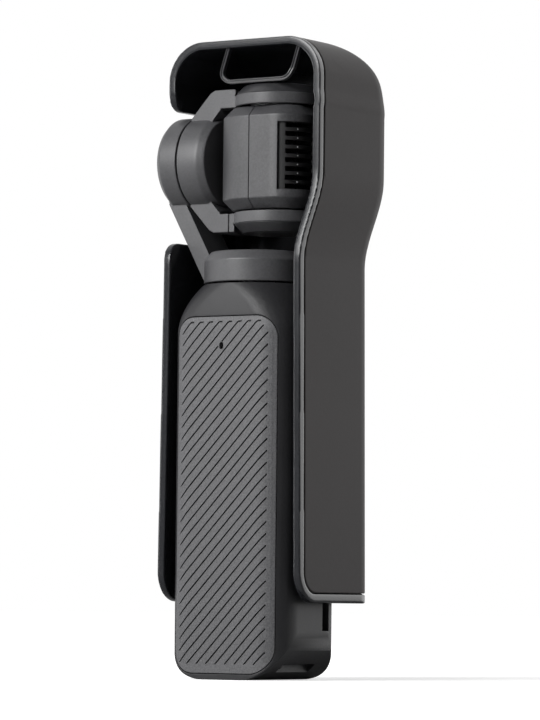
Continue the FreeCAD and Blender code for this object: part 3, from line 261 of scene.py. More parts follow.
# %% [markdown]
# The cover is a hard liner with a soft-touch silicone skin over it. The skin is warm, very matt and
# slightly dusty at a grazing angle, which the sheen gives. The liner's rim stays bare: satin
# polycarbonate, smoother than the case and a little bluish beside the skin, so that its rounded
# edge draws a narrow bright line while its face stays dark.

# %% Cover finishes


def skin_material():
    material, tree, place = blank("soft_touch_silicone")
    grain = add(tree, "ShaderNodeTexNoise",
                {"Scale": per_metre(0.7), "Detail": 4.0, "Roughness": 0.7}, {"Vector": place})
    drift = add(tree, "ShaderNodeTexNoise", {"Scale": per_metre(30.0), "Detail": 1.0},
                {"Vector": place})
    both = add(tree, "ShaderNodeMix", {"Factor": 0.6},
               {"A": drift.outputs["Fac"], "B": grain.outputs["Fac"]}, data_type="FLOAT")
    colour = add(tree, "ShaderNodeMix", {"A": linear("#2e2b2b"), "B": linear("#423e3e")},
                 {0: both.outputs["Result"]}, data_type="RGBA")
    bump = add(tree, "ShaderNodeBump", {"Strength": 1.0, "Distance": 0.012 * MM},
               {"Height": grain.outputs["Fac"]})
    shader = add(tree, "ShaderNodeBsdfPrincipled",
                 {"Roughness": 0.72, "IOR": 1.41, "Sheen Weight": 0.12, "Sheen Roughness": 0.5},
                 {"Base Color": colour.outputs["Result"], "Normal": bump.outputs["Normal"]})
    add(tree, "ShaderNodeOutputMaterial", {}, {"Surface": shader.outputs["BSDF"]})
    return material


skin_finish = skin_material()
liner_finish = grained("polycarbonate_satin_rim", "#1b1c1f", "#27282b", 0.25, 1.58, 0.45, 0.0012,
                       spread=0.02, shine=0.3)
pad_finish = grained("closed_cell_foam", "#1d1d1d", "#292929", 0.85, 1.45, 0.6, 0.05)

# %% [markdown]
# Small parts. Turned and stamped steel has fine rings or lines, so its noise is stretched along one
# axis. Gold-plated contacts and enamelled copper are metals with the default index. The boards
# carry solder mask: green lacquer over faint copper lines.

# %% Metals and boards


def metal(name, dark, light, roughness, stretch):
    material, tree, place = blank(name)
    drawn = add(tree, "ShaderNodeMapping", {"Scale": stretch}, {"Vector": place})
    lines = add(tree, "ShaderNodeTexNoise", {"Scale": per_metre(0.2), "Detail": 3.0},
                {"Vector": drawn.outputs["Vector"]})
    colour = add(tree, "ShaderNodeMix", {"A": linear(dark), "B": linear(light)},
                 {0: lines.outputs["Fac"]}, data_type="RGBA")
    gloss = add(tree, "ShaderNodeMapRange", {"To Min": roughness - 0.08,
                                             "To Max": roughness + 0.08},
                {"Value": lines.outputs["Fac"]})
    bump = add(tree, "ShaderNodeBump", {"Strength": 1.0, "Distance": 0.003 * MM},
               {"Height": lines.outputs["Fac"]})
    shader = add(tree, "ShaderNodeBsdfPrincipled", {"Metallic": 1.0},
                 {"Base Color": colour.outputs["Result"], "Roughness": gloss.outputs["Result"],
                  "Normal": bump.outputs["Normal"]})
    add(tree, "ShaderNodeOutputMaterial", {}, {"Surface": shader.outputs["BSDF"]})
    return material


steel_finish = metal("stamped_steel", "#8f9092", "#b9babc", 0.32, (1.0, 1.0, 0.08))
cast_finish = metal("cast_magnesium", "#7d7e80", "#96979a", 0.55, (1.0, 1.0, 1.0))
gold_finish = metal("gold_plating", "#c79a3c", "#e2bd66", 0.25, (1.0, 1.0, 0.3))
copper_finish = metal("enamelled_copper_winding", "#8a4523", "#b8693a", 0.3, (0.1, 0.1, 3.0))


def board_material():
    material, tree, place = blank("solder_mask_on_laminate")
    tracks = add(tree, "ShaderNodeTexBrick",
                 {"Scale": per_metre(6.0), "Mortar Size": 0.03, "Color1": linear("#12391f"),
                  "Color2": linear("#164526"), "Mortar": linear("#2c6a3a")}, {"Vector": place})
    bump = add(tree, "ShaderNodeBump", {"Strength": 0.5, "Distance": 0.04 * MM},
               {"Height": tracks.outputs["Fac"]})
    shader = add(tree, "ShaderNodeBsdfPrincipled", {"Roughness": 0.3, "IOR": 1.52},
                 {"Base Color": tracks.outputs["Color"], "Normal": bump.outputs["Normal"]})
    add(tree, "ShaderNodeOutputMaterial", {}, {"Surface": shader.outputs["BSDF"]})
    return material


board_finish = board_material()
wrap_finish = grained("heat_shrunk_film", "#1c2430", "#27313f", 0.3, 1.57, 1.2, 0.02)

# %% [markdown]
# Glass and rubber. The screen's cover is black-backed glass, so it is drawn as an opaque gloss
# under a clear coat. The lenses are real glass with a faint violet coating. The thumb stick is
# moulded rubber with a pebbled top.

# %% Glass, display and rubber


def glossy(name, swatch, tint, roughness, ior, coat=0.0):
    """Polished surface with faint cloudiness, as fingerprints leave."""
    material, tree, place = blank(name)
    cloud = add(tree, "ShaderNodeTexNoise", {"Scale": per_metre(9.0), "Detail": 4.0},
                {"Vector": place})
    colour = add(tree, "ShaderNodeMix", {"A": linear(swatch), "B": linear(tint)},
                 {0: cloud.outputs["Fac"]}, data_type="RGBA")
    gloss = add(tree, "ShaderNodeMapRange", {"To Min": roughness, "To Max": roughness + 0.06},
                {"Value": cloud.outputs["Fac"]})
    bump = add(tree, "ShaderNodeBump", {"Strength": 0.3, "Distance": 0.001 * MM},
               {"Height": cloud.outputs["Fac"]})
    shader = add(tree, "ShaderNodeBsdfPrincipled", {"IOR": ior, "Coat Weight": coat},
                 {"Base Color": colour.outputs["Result"], "Roughness": gloss.outputs["Result"],
                  "Normal": bump.outputs["Normal"]})
    add(tree, "ShaderNodeOutputMaterial", {}, {"Surface": shader.outputs["BSDF"]})
    return material


screen_finish = glossy("black_backed_glass", "#050506", "#08080a", 0.04, 1.52, coat=0.6)
display_finish = glossy("dark_display_panel", "#07080b", "#0c0d12", 0.12, 1.5)
lens_finish = glossy("coated_lens_glass", "#0a0a16", "#15132a", 0.02, 1.6, coat=1.0)
barrel_finish = grained("black_anodised_barrel", "#0e0e10", "#161618", 0.35, 1.5, 0.3, 0.004)
light_finish = glossy("clear_diffuser", "#b9c2ba", "#d2d8d2", 0.2, 1.49)
rubber_finish = grained("pebbled_rubber", "#161616", "#222222", 0.7, 1.52, 0.5, 0.05)
record_finish = grained("satin_red_button", "#7d1512", "#95201b", 0.38, 1.5, 0.4, 0.006)
print("materials", len(bpy.data.materials))

# %% [markdown]
# Which piece takes which finish. The record's material slots already group the pieces, so the
# finish follows the slot, and only the pieces whose surface differs from their slot are named one
# by one.

# %% Finish of each slot
FINISH_OF_SLOT = {
    "case_plastic": case_finish, "grip_plastic": grip_finish, "magnesium": cast_finish,
    "cell_wrap": wrap_finish, "circuit_board": board_finish, "steel": steel_finish,
    "inner_plastic": inner_finish, "gold_contact": gold_finish, "light_lens": light_finish,
    "copper_winding": copper_finish, "button_plastic": record_finish,
    "button_rubber": rubber_finish, "screen_glass": screen_finish, "display": display_finish,
    "gimbal_metal": arm_finish, "head_plastic": head_finish, "lens_black": barrel_finish,
    "lens_glass": lens_finish, "cover_skin": skin_finish, "cover_liner": liner_finish,
    "cover_pad": pad_finish,
}
FINISH_OF_NODE = {"top_cap": cap_finish, "bottom_cap": cap_finish, "cover_cradle": cap_finish}
slot_of = {part["node"]: part["material_slot"] for part in frame["record"]["subparts"]}


def finish_of(node):
    return FINISH_OF_NODE.get(node, FINISH_OF_SLOT[slot_of[node]])


for name, item in nodes.items():
    item.data.materials.clear()
    item.data.materials.append(finish_of(name))
print("finished nodes", len(nodes))

# %% [markdown]
# Soft edges. No moulded or cast edge is truly sharp: a small radius catches the light and draws the
# bright line that tells plastic from paper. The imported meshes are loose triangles, so a copy of
# each is merged, its flat faces are joined, and a Bevel modifier rounds what is sharper than a
# given angle. The width follows the room beside each edge, because one width for all would throw
# spikes where short edges meet. The result is baked to a plain mesh that stands for the node.

# %% Bake and dress
SHARP_ANGLE = math.radians(32)
MERGE = 0.002 * MM
STRAIGHT = 0.35


def baked(item, name):
    """Plain mesh object from an object's evaluated modifiers."""
    graph = bpy.context.evaluated_depsgraph_get()
    mesh = bpy.data.meshes.new_from_object(item.evaluated_get(graph))
    bpy.data.objects.remove(item)
    result = bpy.data.objects.new(name, mesh)
    bpy.context.scene.collection.objects.link(result)
    return result


def merged_copy(node):
    """A closed copy of a node's mesh with its flat faces joined."""
    mesh = nodes[node].data.copy()
    shape = bmesh.new()
    shape.from_mesh(mesh)
    bmesh.ops.remove_doubles(shape, verts=shape.verts, dist=MERGE)
    bmesh.ops.dissolve_degenerate(shape, edges=shape.edges, dist=MERGE)
    bmesh.ops.dissolve_limit(shape, angle_limit=math.radians(0.4), verts=shape.verts,
                             edges=shape.edges)
    shape.to_mesh(mesh)
    shape.free()
    mesh.attributes.active_color = None
    return mesh


def room_beside(edge, sharp):
    """Widest bevel that the edges crossing an edge's ends can spare."""
    room = math.inf
    for corner in edge.verts:
        way = (edge.other_vert(corner).co - corner.co).normalized()
        for other in corner.link_edges:
            span = other.other_vert(corner).co - corner.co
            reach = span.cross(way).length
            if other is edge or (other in sharp and reach < STRAIGHT * span.length):
                continue
            room = min(room, reach)
    return room


def mark_edges(mesh, radius, share_at=None):
    """Bevel weights: full on sharp edges, less where the neighbours are close."""
    shape = bmesh.new()
    shape.from_mesh(mesh)
    weights = shape.edges.layers.float.new("bevel_weight_edge")
    sharp = {e for e in shape.edges if len(e.link_faces) == 2
             and e.calc_face_angle() > SHARP_ANGLE}
    for edge in sharp:
        share = share_at(edge) if share_at else 1.0
        edge[weights] = min(share, 0.45 * room_beside(edge, sharp) / radius)
    shape.to_mesh(mesh)
    shape.free()


def soft_item(node, radius_mm, steps=3, share_at=None):
    """The merged copy with its bevel still live."""
    item = bpy.data.objects.new(node + "_soft", merged_copy(node))
    bpy.context.scene.collection.objects.link(item)
    item.data.materials.clear()
    item.data.materials.append(finish_of(node))
    item.data.shade_smooth()
    mark_edges(item.data, radius_mm * MM, share_at)
    edge = item.modifiers.new("edge", "BEVEL")
    edge.width = radius_mm * MM
    edge.segments = steps
    edge.limit_method = "WEIGHT"
    edge.use_clamp_overlap = False
    return item


def seat(piece, *dressed, crisp=SHARP_ANGLE):
    """The finished piece rides with its nodes' body and stands for them."""
    name = piece.name
    piece.name = name + "_raw"
    piece.data.set_sharp_from_angle(angle=crisp)
    even = piece.modifiers.new("even_normals", "WEIGHTED_NORMAL")
    even.keep_sharp = True
    piece = baked(piece, name)
    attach(piece, nodes[dressed[0]]["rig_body"])
    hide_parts(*dressed)
    return piece


def soften(node, radius_mm, steps=3, share_at=None):
    return seat(baked(soft_item(node, radius_mm, steps, share_at), node + "_dressed"), node)


EDGE_RADII = {
    "handle_shell": 0.18, "front_panel": 0.15, "record_button": 0.25, "joystick_cap": 0.25,
    "screen_housing": 0.25, "cover_glass": 0.15, "yaw_arm": 0.25, "roll_frame": 0.25,
    "lower_bracket": 0.25, "top_cap": 0.25, "bottom_cap": 0.25, "lens_ring": 0.12,
    "cover_shell": 0.3, "cover_pads": 0.3, "usb_port_shell": 0.08,
}
for name, radius in EDGE_RADII.items():
    piece = soften(name, radius)
    print(piece.name, len(piece.data.polygons))

# %% [markdown]
# The camera head is two painted shells. Their chamfers are blended with a small radius, but the
# seam between them, the lens opening and the vents' pocket stay crisper, so the radius depends on
# where an edge lies. A wide radius would overlap itself at the pocket. Inside the pocket a second,
# darker material goes to the faces that lie below the head's outline there: painted shade of the
# recess.

# %% Head shells
HEAD_ROUND, CRISP_SHARE = 0.25, 0.5
SEAM_X, LENS_X, NEAR_SEAM = -4.6 * MM, 5.2 * MM, 0.5 * MM
TILT_X, MIDDLE_Z = -5.9 * MM, 121.8 * MM
REAR_ROUND, REAR_CENTRE, REAR_HALF = 7.2 * MM, 4.2 * MM, 3.8 * MM
POCKET_START, POCKET_HALF, POCKET_DEPTH = -12.2 * MM, 7.95 * MM, 0.12 * MM
REAR_START = -6.1 * MM


def head_share(edge):
    middle = (edge.verts[0].co + edge.verts[1].co) / 2
    near_seam = abs(middle.x - SEAM_X) < NEAR_SEAM
    return CRISP_SHARE if near_seam or middle.x > LENS_X else 1.0


def rear_share(edge):
    middle = (edge.verts[0].co + edge.verts[1].co) / 2
    inside = abs(middle.z - MIDDLE_Z) < POCKET_HALF + NEAR_SEAM and middle.x < REAR_START
    return CRISP_SHARE if inside else head_share(edge)


def in_pocket(point):
    """Whether a point lies below the head's rounded outline, in the vents' pocket."""
    if point.x > POCKET_START or abs(point.z - MIDDLE_Z) > POCKET_HALF:
        return False
    corner = Vector((max(TILT_X - REAR_CENTRE - point.x, 0.0), max(abs(point.y) - REAR_HALF, 0.0)))
    return corner.length < REAR_ROUND - POCKET_DEPTH


soften("head_front_shell", HEAD_ROUND, 3, head_share)
rear = soften("head_rear_shell", HEAD_ROUND, 3, rear_share)
# The darker second material marks the pocket's faces with painted shade.
rear.data.materials.append(vent_shade_finish)
pocket_shaded_faces = [face for face in rear.data.polygons if in_pocket(face.center)]
for face in pocket_shaded_faces:
    face.material_index = 1
print("faces with painted shade in the pocket", len(pocket_shaded_faces))

# %% [markdown]
# The liner's rim is a bullnose: it is what fingers meet, and it frames the opening with one bright
# line on its lit side. The rim runs along walls, round the notch and over the hood, too winding
# for a bevel, so the shell is remeshed into small even cells, eased until its edges round off as a
# moulded part's do, and then thinned where it is flat.

# %% Liner with a bullnose rim
LINER_CELL, EASE_ROUNDS, LINER_KEEP = 0.26, 5, 0.2


def eased_shell(node, cell_mm, rounds, keep):
    mesh = merged_copy(node)
    item = bpy.data.objects.new(node + "_soft", mesh)
    bpy.context.scene.collection.objects.link(item)
    cells = item.modifiers.new("cells", "REMESH")
    cells.mode, cells.voxel_size, cells.use_smooth_shade = "VOXEL", cell_mm * MM, True
    ease = item.modifiers.new("ease", "SMOOTH")
    ease.factor, ease.iterations = 0.5, rounds
    thin = item.modifiers.new("thin", "DECIMATE")
    thin.ratio = keep
    piece = baked(item, node + "_eased")
    piece.data.materials.clear()
    piece.data.materials.append(finish_of(node))
    piece.data.shade_smooth()
    return piece


liner = seat(eased_shell("cover_liner", LINER_CELL, EASE_ROUNDS, LINER_KEEP), "cover_liner")
print(liner.name, len(liner.data.polygons))

# %% [markdown]
# The bracket under the hood is a wire-thin U of pressed metal that keeps a knock on the hood off
# the parked head. Its face has a fine channel pressed into it, which reads as two bright lines. A
# section with that channel is carried along the U, from one end under the roof to the other.

# %% Hood bracket
BRACKET_LEFT, BRACKET_RIGHT = 4.95, -14.95
BRACKET_TOP, BRACKET_LOW, BRACKET_BEND = 148.2, 139.92, 3.0
BRACKET_BACK, BRACKET_FRONT, LEAN_FROM = 8.45, 5.4, 141.5
BEND_STEPS = 8
CHANNEL = [(-0.5, -0.45), (0.5, -0.45), (0.5, 0.4), (0.4, 0.5), (0.24, 0.5), (0.14, 0.2),
           (-0.14, 0.2), (-0.24, 0.5), (-0.4, 0.5), (-0.5, 0.4)]


def bracket_path():
    """Points of the U in millimetres, leaning back under the roof at its ends."""
    flat = [(BRACKET_LEFT, BRACKET_TOP), (BRACKET_LEFT, (BRACKET_TOP + BRACKET_LOW) / 2)]
    for side, way in ((BRACKET_LEFT, -1), (BRACKET_RIGHT, 1)):
        bend = [(side + way * BRACKET_BEND * (1 - math.cos(turn)),
                 BRACKET_LOW + BRACKET_BEND * (1 - math.sin(turn)))
                for turn in (math.pi / 2 * i / BEND_STEPS for i in range(BEND_STEPS + 1))]
        flat += bend if way < 0 else bend[::-1]
    flat += [(BRACKET_RIGHT, (BRACKET_TOP + BRACKET_LOW) / 2), (BRACKET_RIGHT, BRACKET_TOP)]
    points = []
    for x, z in flat:
        lean = max(z - LEAN_FROM, 0.0) / (BRACKET_TOP - LEAN_FROM)
        y = BRACKET_BACK + (BRACKET_FRONT - BRACKET_BACK) * lean
        points.append(Vector((x, y, z)) * MM)
    return points


def swept(path, section, facing):
    """Vertices and faces of a section carried along a path, its top turned to one side."""
    verts, faces, n = [], [], len(section)
    for i, point in enumerate(path):
        along = (path[min(i + 1, len(path) - 1)] - path[max(i - 1, 0)]).normalized()
        side = along.cross(facing).normalized()
        out = side.cross(along)
        verts += [point + (side * u + out * v) * MM for u, v in section]
    for i in range(len(path) - 1):
        faces += [(i * n + k, i * n + (k + 1) % n, (i + 1) * n + (k + 1) % n, (i + 1) * n + k)
                  for k in range(n)]
    return verts, faces + [tuple(range(n)), tuple(range(len(verts) - n, len(verts)))]


bracket_mesh = bpy.data.meshes.new("hood_bracket")
ring_points, ring_faces = swept(bracket_path(), CHANNEL, Vector((0, 1, 0)))
bracket_mesh.from_pydata(ring_points, [], ring_faces)
shape = bmesh.new()
shape.from_mesh(bracket_mesh)
bmesh.ops.recalc_face_normals(shape, faces=shape.faces)
shape.to_mesh(bracket_mesh)
shape.free()
bracket_mesh.materials.append(cap_finish)
bracket_mesh.shade_smooth()
bracket = bpy.data.objects.new("hood_bracket", bracket_mesh)
bpy.context.scene.collection.objects.link(bracket)
bracket = seat(bracket, "cover_cradle")
print(bracket.name, len(bracket.data.polygons))

# %% [markdown]
# The grip plate's grooves. Some forty slanting grooves cross the plate, each hooked level where it
# meets the top, and running out before the side edges. This is a rule, so Geometry Nodes draw it:
# one line is duplicated, every copy is laid along the slope by its index, and a ray finds the
# plate's own surface under it. The copies are pulled outwards into upright sheets, which get the
# width of a groove and which a Boolean takes out of the plate. Where a groove should end, its
# sheet's foot rises above the surface, so nothing is cut there.

# %% Groove tree


def tree_with(name, inputs):
    """A geometry tree with named inputs after its mesh."""
    tree = bpy.data.node_groups.new(name, "GeometryNodeTree")
    face = tree.interface
    face.new_socket("Geometry", in_out="INPUT", socket_type="NodeSocketGeometry")
    for label, kind in inputs.items():
        face.new_socket(label, in_out="INPUT", socket_type=kind)
    face.new_socket("Geometry", in_out="OUTPUT", socket_type="NodeSocketGeometry")
    return tree, add(tree, "NodeGroupInput"), add(tree, "NodeGroupOutput")


def sums(tree, operation, first, second=None, third=None):
    """One step of arithmetic between sockets or numbers."""
    node = tree.nodes.new("ShaderNodeMath")
    node.operation = operation
    for i, value in enumerate((first, second, third)):
        if isinstance(value, bpy.types.NodeSocket):
            tree.links.new(value, node.inputs[i])
        elif value is not None:
            node.inputs[i].default_value = value
    return node.outputs[0]


GROOVE_INPUTS = {"Count": "NodeSocketInt", "Spacing": "NodeSocketFloat",
                 "Slope": "NodeSocketFloat", "Lowest": "NodeSocketFloat",
                 "Left": "NodeSocketFloat", "Right": "NodeSocketFloat",
                 "Bottom": "NodeSocketFloat", "Top": "NodeSocketFloat",
                 "Hook": "NodeSocketFloat", "Left fade": "NodeSocketFloat",
                 "Right fade": "NodeSocketFloat", "Corner": "NodeSocketFloat",
                 "Depth": "NodeSocketFloat", "Width": "NodeSocketFloat",
                 "Hole": "NodeSocketVector", "Hole room": "NodeSocketFloat",
                 "Finish": "NodeSocketMaterial"}


def corner_gap(tree, get, across, height):
    """How far a point is inside the rounded upper corner on the right."""
    from_right = sums(tree, "SUBTRACT", get["Right"], across)
    from_top = sums(tree, "SUBTRACT", get["Top"], height)
    past_x = sums(tree, "MAXIMUM", sums(tree, "SUBTRACT", get["Corner"], from_right), 0.0)
    past_z = sums(tree, "MAXIMUM", sums(tree, "SUBTRACT", get["Corner"], from_top), 0.0)
    past_z = sums(tree, "MINIMUM", past_z, past_x)
    past = add(tree, "ShaderNodeCombineXYZ", {}, {"X": past_x, "Y": past_z})
    length = add(tree, "ShaderNodeVectorMath", {}, {0: past.outputs["Vector"]},
                 operation="LENGTH")
    return sums(tree, "SUBTRACT", get["Corner"], length.outputs["Value"])


def fade(tree, distance, over):
    """Share of the full depth, easing in over a distance from an end."""
    node = add(tree, "ShaderNodeMapRange", {}, {"Value": distance, "From Max": over},
               interpolation_type="SMOOTHSTEP")
    return node.outputs["Result"]


LINE_POINTS = 70
RAY_START, RAY_REACH = 100.0 * MM, 1000.0 * MM
FOOT_CLEAR, MISS_HEIGHT, SHEET_HEIGHT = 0.05 * MM, 20.0 * MM, 4.0 * MM
SHORTEST_RUN, SHORTEST_GROOVE, JOIN_GAP = 0.1 * MM, 1.0 * MM, 0.001 * MM


def groove_tree():
    tree, given, out = tree_with("plate_grooves", GROOVE_INPUTS)
    get = given.outputs
    line = add(tree, "GeometryNodeCurvePrimitiveLine", {"Start": (0, 0, 0), "End": (1, 0, 0)})
    copies = add(tree, "GeometryNodeDuplicateElements", {},
                 {"Geometry": line.outputs["Curve"], "Amount": get["Count"]}, domain="SPLINE")
    fine = add(tree, "GeometryNodeResampleCurve", {"Count": LINE_POINTS},
               {"Curve": copies.outputs["Geometry"]})
    index = copies.outputs["Duplicate Index"]
    share = add(tree, "GeometryNodeSplineParameter").outputs["Factor"]
    level = sums(tree, "MULTIPLY_ADD", index, get["Spacing"], get["Lowest"])
    reach_top = sums(tree, "DIVIDE", sums(tree, "SUBTRACT", get["Top"], level), get["Slope"])
    reach_low = sums(tree, "DIVIDE", sums(tree, "SUBTRACT", get["Bottom"], level), get["Slope"])
    start = sums(tree, "MAXIMUM", get["Left"], reach_low)
    end = sums(tree, "MINIMUM", get["Right"], sums(tree, "ADD", reach_top, get["Hook"]))
    length = sums(tree, "SUBTRACT", end, start)
    run = sums(tree, "MAXIMUM", length, SHORTEST_RUN)
    across = sums(tree, "MULTIPLY_ADD", share, run, start)
    rise = sums(tree, "MULTIPLY_ADD", across, get["Slope"], level)
    height = sums(tree, "MINIMUM", rise, get["Top"])
    above = add(tree, "ShaderNodeCombineXYZ", {"Y": RAY_START},
                {"X": sums(tree, "MULTIPLY", across, -1.0), "Z": height})
    ray = add(tree, "GeometryNodeRaycast",
              {"Ray Direction": (0, -1, 0), "Ray Length": RAY_REACH},
              {"Target Geometry": get["Geometry"], "Source Position": above.outputs["Vector"]})
    gap = add(tree, "ShaderNodeVectorMath", {}, {0: above.outputs["Vector"], 1: get["Hole"]},
              operation="SUBTRACT")
    flat = add(tree, "ShaderNodeVectorMath", {1: (1, 0, 1)}, {0: gap.outputs["Vector"]},
               operation="MULTIPLY")
    hole = add(tree, "ShaderNodeVectorMath", {}, {0: flat.outputs["Vector"]}, operation="LENGTH")
    beside = sums(tree, "SUBTRACT", hole.outputs["Value"], get["Hole room"])
    left_share = fade(tree, sums(tree, "SUBTRACT", across, get["Left"]), get["Left fade"])
    end_gap = sums(tree, "MINIMUM", sums(tree, "MULTIPLY", share, run),
                   sums(tree, "MINIMUM", corner_gap(tree, get, across, height), beside))
    whole = sums(tree, "GREATER_THAN", length, SHORTEST_GROOVE)
    sunk = sums(tree, "MINIMUM", left_share, fade(tree, end_gap, get["Right fade"]))
    sunk = sums(tree, "MULTIPLY", sunk, whole)
    surface = add(tree, "ShaderNodeSeparateXYZ", {}, {"Vector": ray.outputs["Hit Position"]})
    clear = sums(tree, "MULTIPLY_ADD", sums(tree, "ADD", get["Depth"], FOOT_CLEAR),
                 sums(tree, "MULTIPLY", sunk, -1.0), FOOT_CLEAR)
    floor_y = sums(tree, "ADD", surface.outputs["Y"], clear)
    hit = add(tree, "GeometryNodeSwitch", {"False": MISS_HEIGHT},
              {"Switch": ray.outputs["Is Hit"], "True": floor_y}, input_type="FLOAT")
    target = add(tree, "ShaderNodeCombineXYZ", {},
                 {"X": sums(tree, "MULTIPLY", across, -1.0), "Y": hit.outputs["Output"],
                  "Z": height})
    laid = add(tree, "GeometryNodeSetPosition", {},
               {"Geometry": fine.outputs["Curve"], "Position": target.outputs["Vector"]})
    edges = add(tree, "GeometryNodeCurveToMesh", {}, {"Curve": laid.outputs["Geometry"]})
    outward = add(tree, "ShaderNodeCombineXYZ", {"Y": 1.0})
    sheet = add(tree, "GeometryNodeExtrudeMesh", {"Offset Scale": SHEET_HEIGHT},
                {"Mesh": edges.outputs["Mesh"], "Offset": outward.outputs["Vector"]},
                mode="EDGES")
    thick = add(tree, "GeometryNodeExtrudeMesh", {"Individual": False},
                {"Mesh": sheet.outputs["Mesh"], "Offset Scale": get["Width"]}, mode="FACES")
    turned = add(tree, "GeometryNodeFlipFaces", {}, {"Mesh": sheet.outputs["Mesh"]})
    joined = add(tree, "GeometryNodeJoinGeometry")
    tree.links.new(turned.outputs["Mesh"], joined.inputs["Geometry"])
    tree.links.new(thick.outputs["Mesh"], joined.inputs["Geometry"])
    cutters = add(tree, "GeometryNodeMergeByDistance", {"Distance": JOIN_GAP},
                  {"Geometry": joined.outputs["Geometry"]})
    carved = add(tree, "GeometryNodeMeshBoolean", {},
                 {"Mesh 1": get["Geometry"], "Mesh 2": cutters.outputs["Geometry"]},
                 operation="DIFFERENCE", solver="MANIFOLD")
    real = add(tree, "GeometryNodeRealizeInstances", {}, {"Geometry": carved.outputs["Mesh"]})
    done = add(tree, "GeometryNodeSetMaterial", {},
               {"Geometry": real.outputs["Geometry"], "Material": get["Finish"]})
    tree.links.new(done.outputs["Geometry"], out.inputs["Geometry"])
    return tree


# %% [markdown]
# Sizes for the tree come from the plate itself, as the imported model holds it, and from the
# photograph for the slope, the spacing and the hooks. Each input is set through its identifier,
# because a modifier keys its inputs that way. The plate's broad faces are first sliced along a
# grid: a face that forty grooves cross has too winding an outline to be filled in reliably.

# %% Cut the grooves


def set_inputs(modifier, tree, values):
    for item in tree.interface.items_tree:
        if item.item_type == "SOCKET" and item.in_out == "INPUT" and item.name in values:
            modifier[item.identifier] = values[item.name]


SLICE_MM, ON_PLANE = 2.5, 1e-7
CRISP_ANGLE = math.radians(1)


def slice_up(mesh, low, high, step):
    """Cuts large faces along a grid, so that each groove crosses small simple ones."""
    shape = bmesh.new()
    shape.from_mesh(mesh)
    for axis, size in ((0, high.x - low.x), (2, high.z - low.z)):
        normal = Vector((axis == 0, 0, axis == 2))
        for i in range(1, math.ceil(size / step)):
            spot = Vector(low) + normal * (step * i)
            bmesh.ops.bisect_plane(shape, geom=[*shape.verts, *shape.edges, *shape.faces],
                                   dist=ON_PLANE, plane_co=spot, plane_no=normal)
    shape.to_mesh(mesh)
    shape.free()


plate_low, plate_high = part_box("grip_plate")
plate_half = (plate_high.x - plate_low.x) / 2
groove_sizes = {
    "Spacing": GROOVE_RISE, "Lowest": GROOVE_LOWEST, "Bottom": 3.4, "Top": 83.0, "Hook": 0.9,
    "Left fade": 1.6, "Right fade": 0.4, "Corner": 3.6, "Depth": 0.75, "Width": 0.36,
    "Hole room": 0.75, "Left": 1.3 - plate_half / MM, "Right": plate_half / MM - 1.7}
groove_values = {name: size * MM for name, size in groove_sizes.items()}
groove_span = (groove_values["Top"] - groove_values["Lowest"]
               + plate_half * math.tan(GROOVE_SLOPE))
groove_values.update({
    "Count": int(groove_span / (GROOVE_RISE * MM)), "Slope": math.tan(GROOVE_SLOPE),
    "Hole": Vector((0.7, 0.0, 77.6)) * MM, "Finish": grip_finish})
plate = baked(soft_item("grip_plate", 0.12, 2), "grip_plate_soft")
slice_up(plate.data, plate_low, plate_high, SLICE_MM * MM)
grooves = plate.modifiers.new("grooves", "NODES")
grooves.node_group = groove_tree()
set_inputs(grooves, grooves.node_group, groove_values)
plate = seat(baked(plate, "grip_plate_grooved"), "grip_plate", crisp=CRISP_ANGLE)
print("grooves", groove_values["Count"], "faces", len(plate.data.polygons))

# %% [markdown]
# A row of tiny polished balls stands in for the glints on the vents' ribs: painted highlights made
# as small bright balls. They repeat at the ribs' own pitch, so a line of points carries one small
# ball each.

# %% Vent glints, painted highlights


def glint_ball_tree():
    tree, given, out = tree_with("vent_glint_balls", {
        "Count": "NodeSocketInt", "Start": "NodeSocketVector", "Pitch": "NodeSocketFloat",
        "Radius": "NodeSocketFloat", "Finish": "NodeSocketMaterial"})
    get = given.outputs
    step = add(tree, "ShaderNodeCombineXYZ", {}, {"Z": get["Pitch"]})
    row = add(tree, "GeometryNodeMeshLine", {},
              {"Count": get["Count"], "Start Location": get["Start"],
               "Offset": step.outputs["Vector"]})
    ball = add(tree, "GeometryNodeMeshIcoSphere", {"Subdivisions": 2},
               {"Radius": get["Radius"]})
    glint_balls = add(tree, "GeometryNodeInstanceOnPoints", {},
               {"Points": row.outputs["Mesh"], "Instance": ball.outputs["Mesh"]})
    real = add(tree, "GeometryNodeRealizeInstances", {}, {"Geometry": glint_balls.outputs["Instances"]})
    done = add(tree, "GeometryNodeSetMaterial", {},
               {"Geometry": real.outputs["Geometry"], "Material": get["Finish"]})
    tree.links.new(done.outputs["Geometry"], out.inputs["Geometry"])
    return tree


# Small polished balls placed as painted glints along the ribs' corner.
GLINT_COUNT, GLINT_PITCH, GLINT_RADIUS = 7, 2.05, 0.2
GLINT_X, GLINT_Y = -15.71, 7.08
row = bpy.data.objects.new("vent_glint_row", bpy.data.meshes.new("vent_glint_row"))
bpy.context.scene.collection.objects.link(row)
glint_balls = row.modifiers.new("glint_balls", "NODES")
glint_balls.node_group = glint_ball_tree()
glint_start = Vector((GLINT_X * MM, GLINT_Y * MM, MIDDLE_Z - GLINT_PITCH * (GLINT_COUNT - 1) / 2 * MM))
set_inputs(glint_balls, glint_balls.node_group, {"Count": GLINT_COUNT, "Start": glint_start,
                                   "Pitch": GLINT_PITCH * MM, "Radius": GLINT_RADIUS * MM,
                                   "Finish": steel_finish})
glint_row = baked(row, "vent_glint_balls")
glint_row.data.shade_smooth()
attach(glint_row, nodes["head_rear_shell"]["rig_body"])
print("vent glint balls", GLINT_COUNT, "faces", len(glint_row.data.polygons))

# %% [markdown]
# Floor and light. The object stands on a seamless white sweep under three soft lamps: a key from
# the upper left that models the round motors, a narrow strip at the far left that draws the bright
# line on upright edges, and a broad one behind the right that opens the cover's skin. The world
# adds a faint fill. The sweep glows only for rays that look at it, so it stays white without
# lighting the object, and it is dimmer under the object so that the shadow holds.

# %% Floor and surroundings


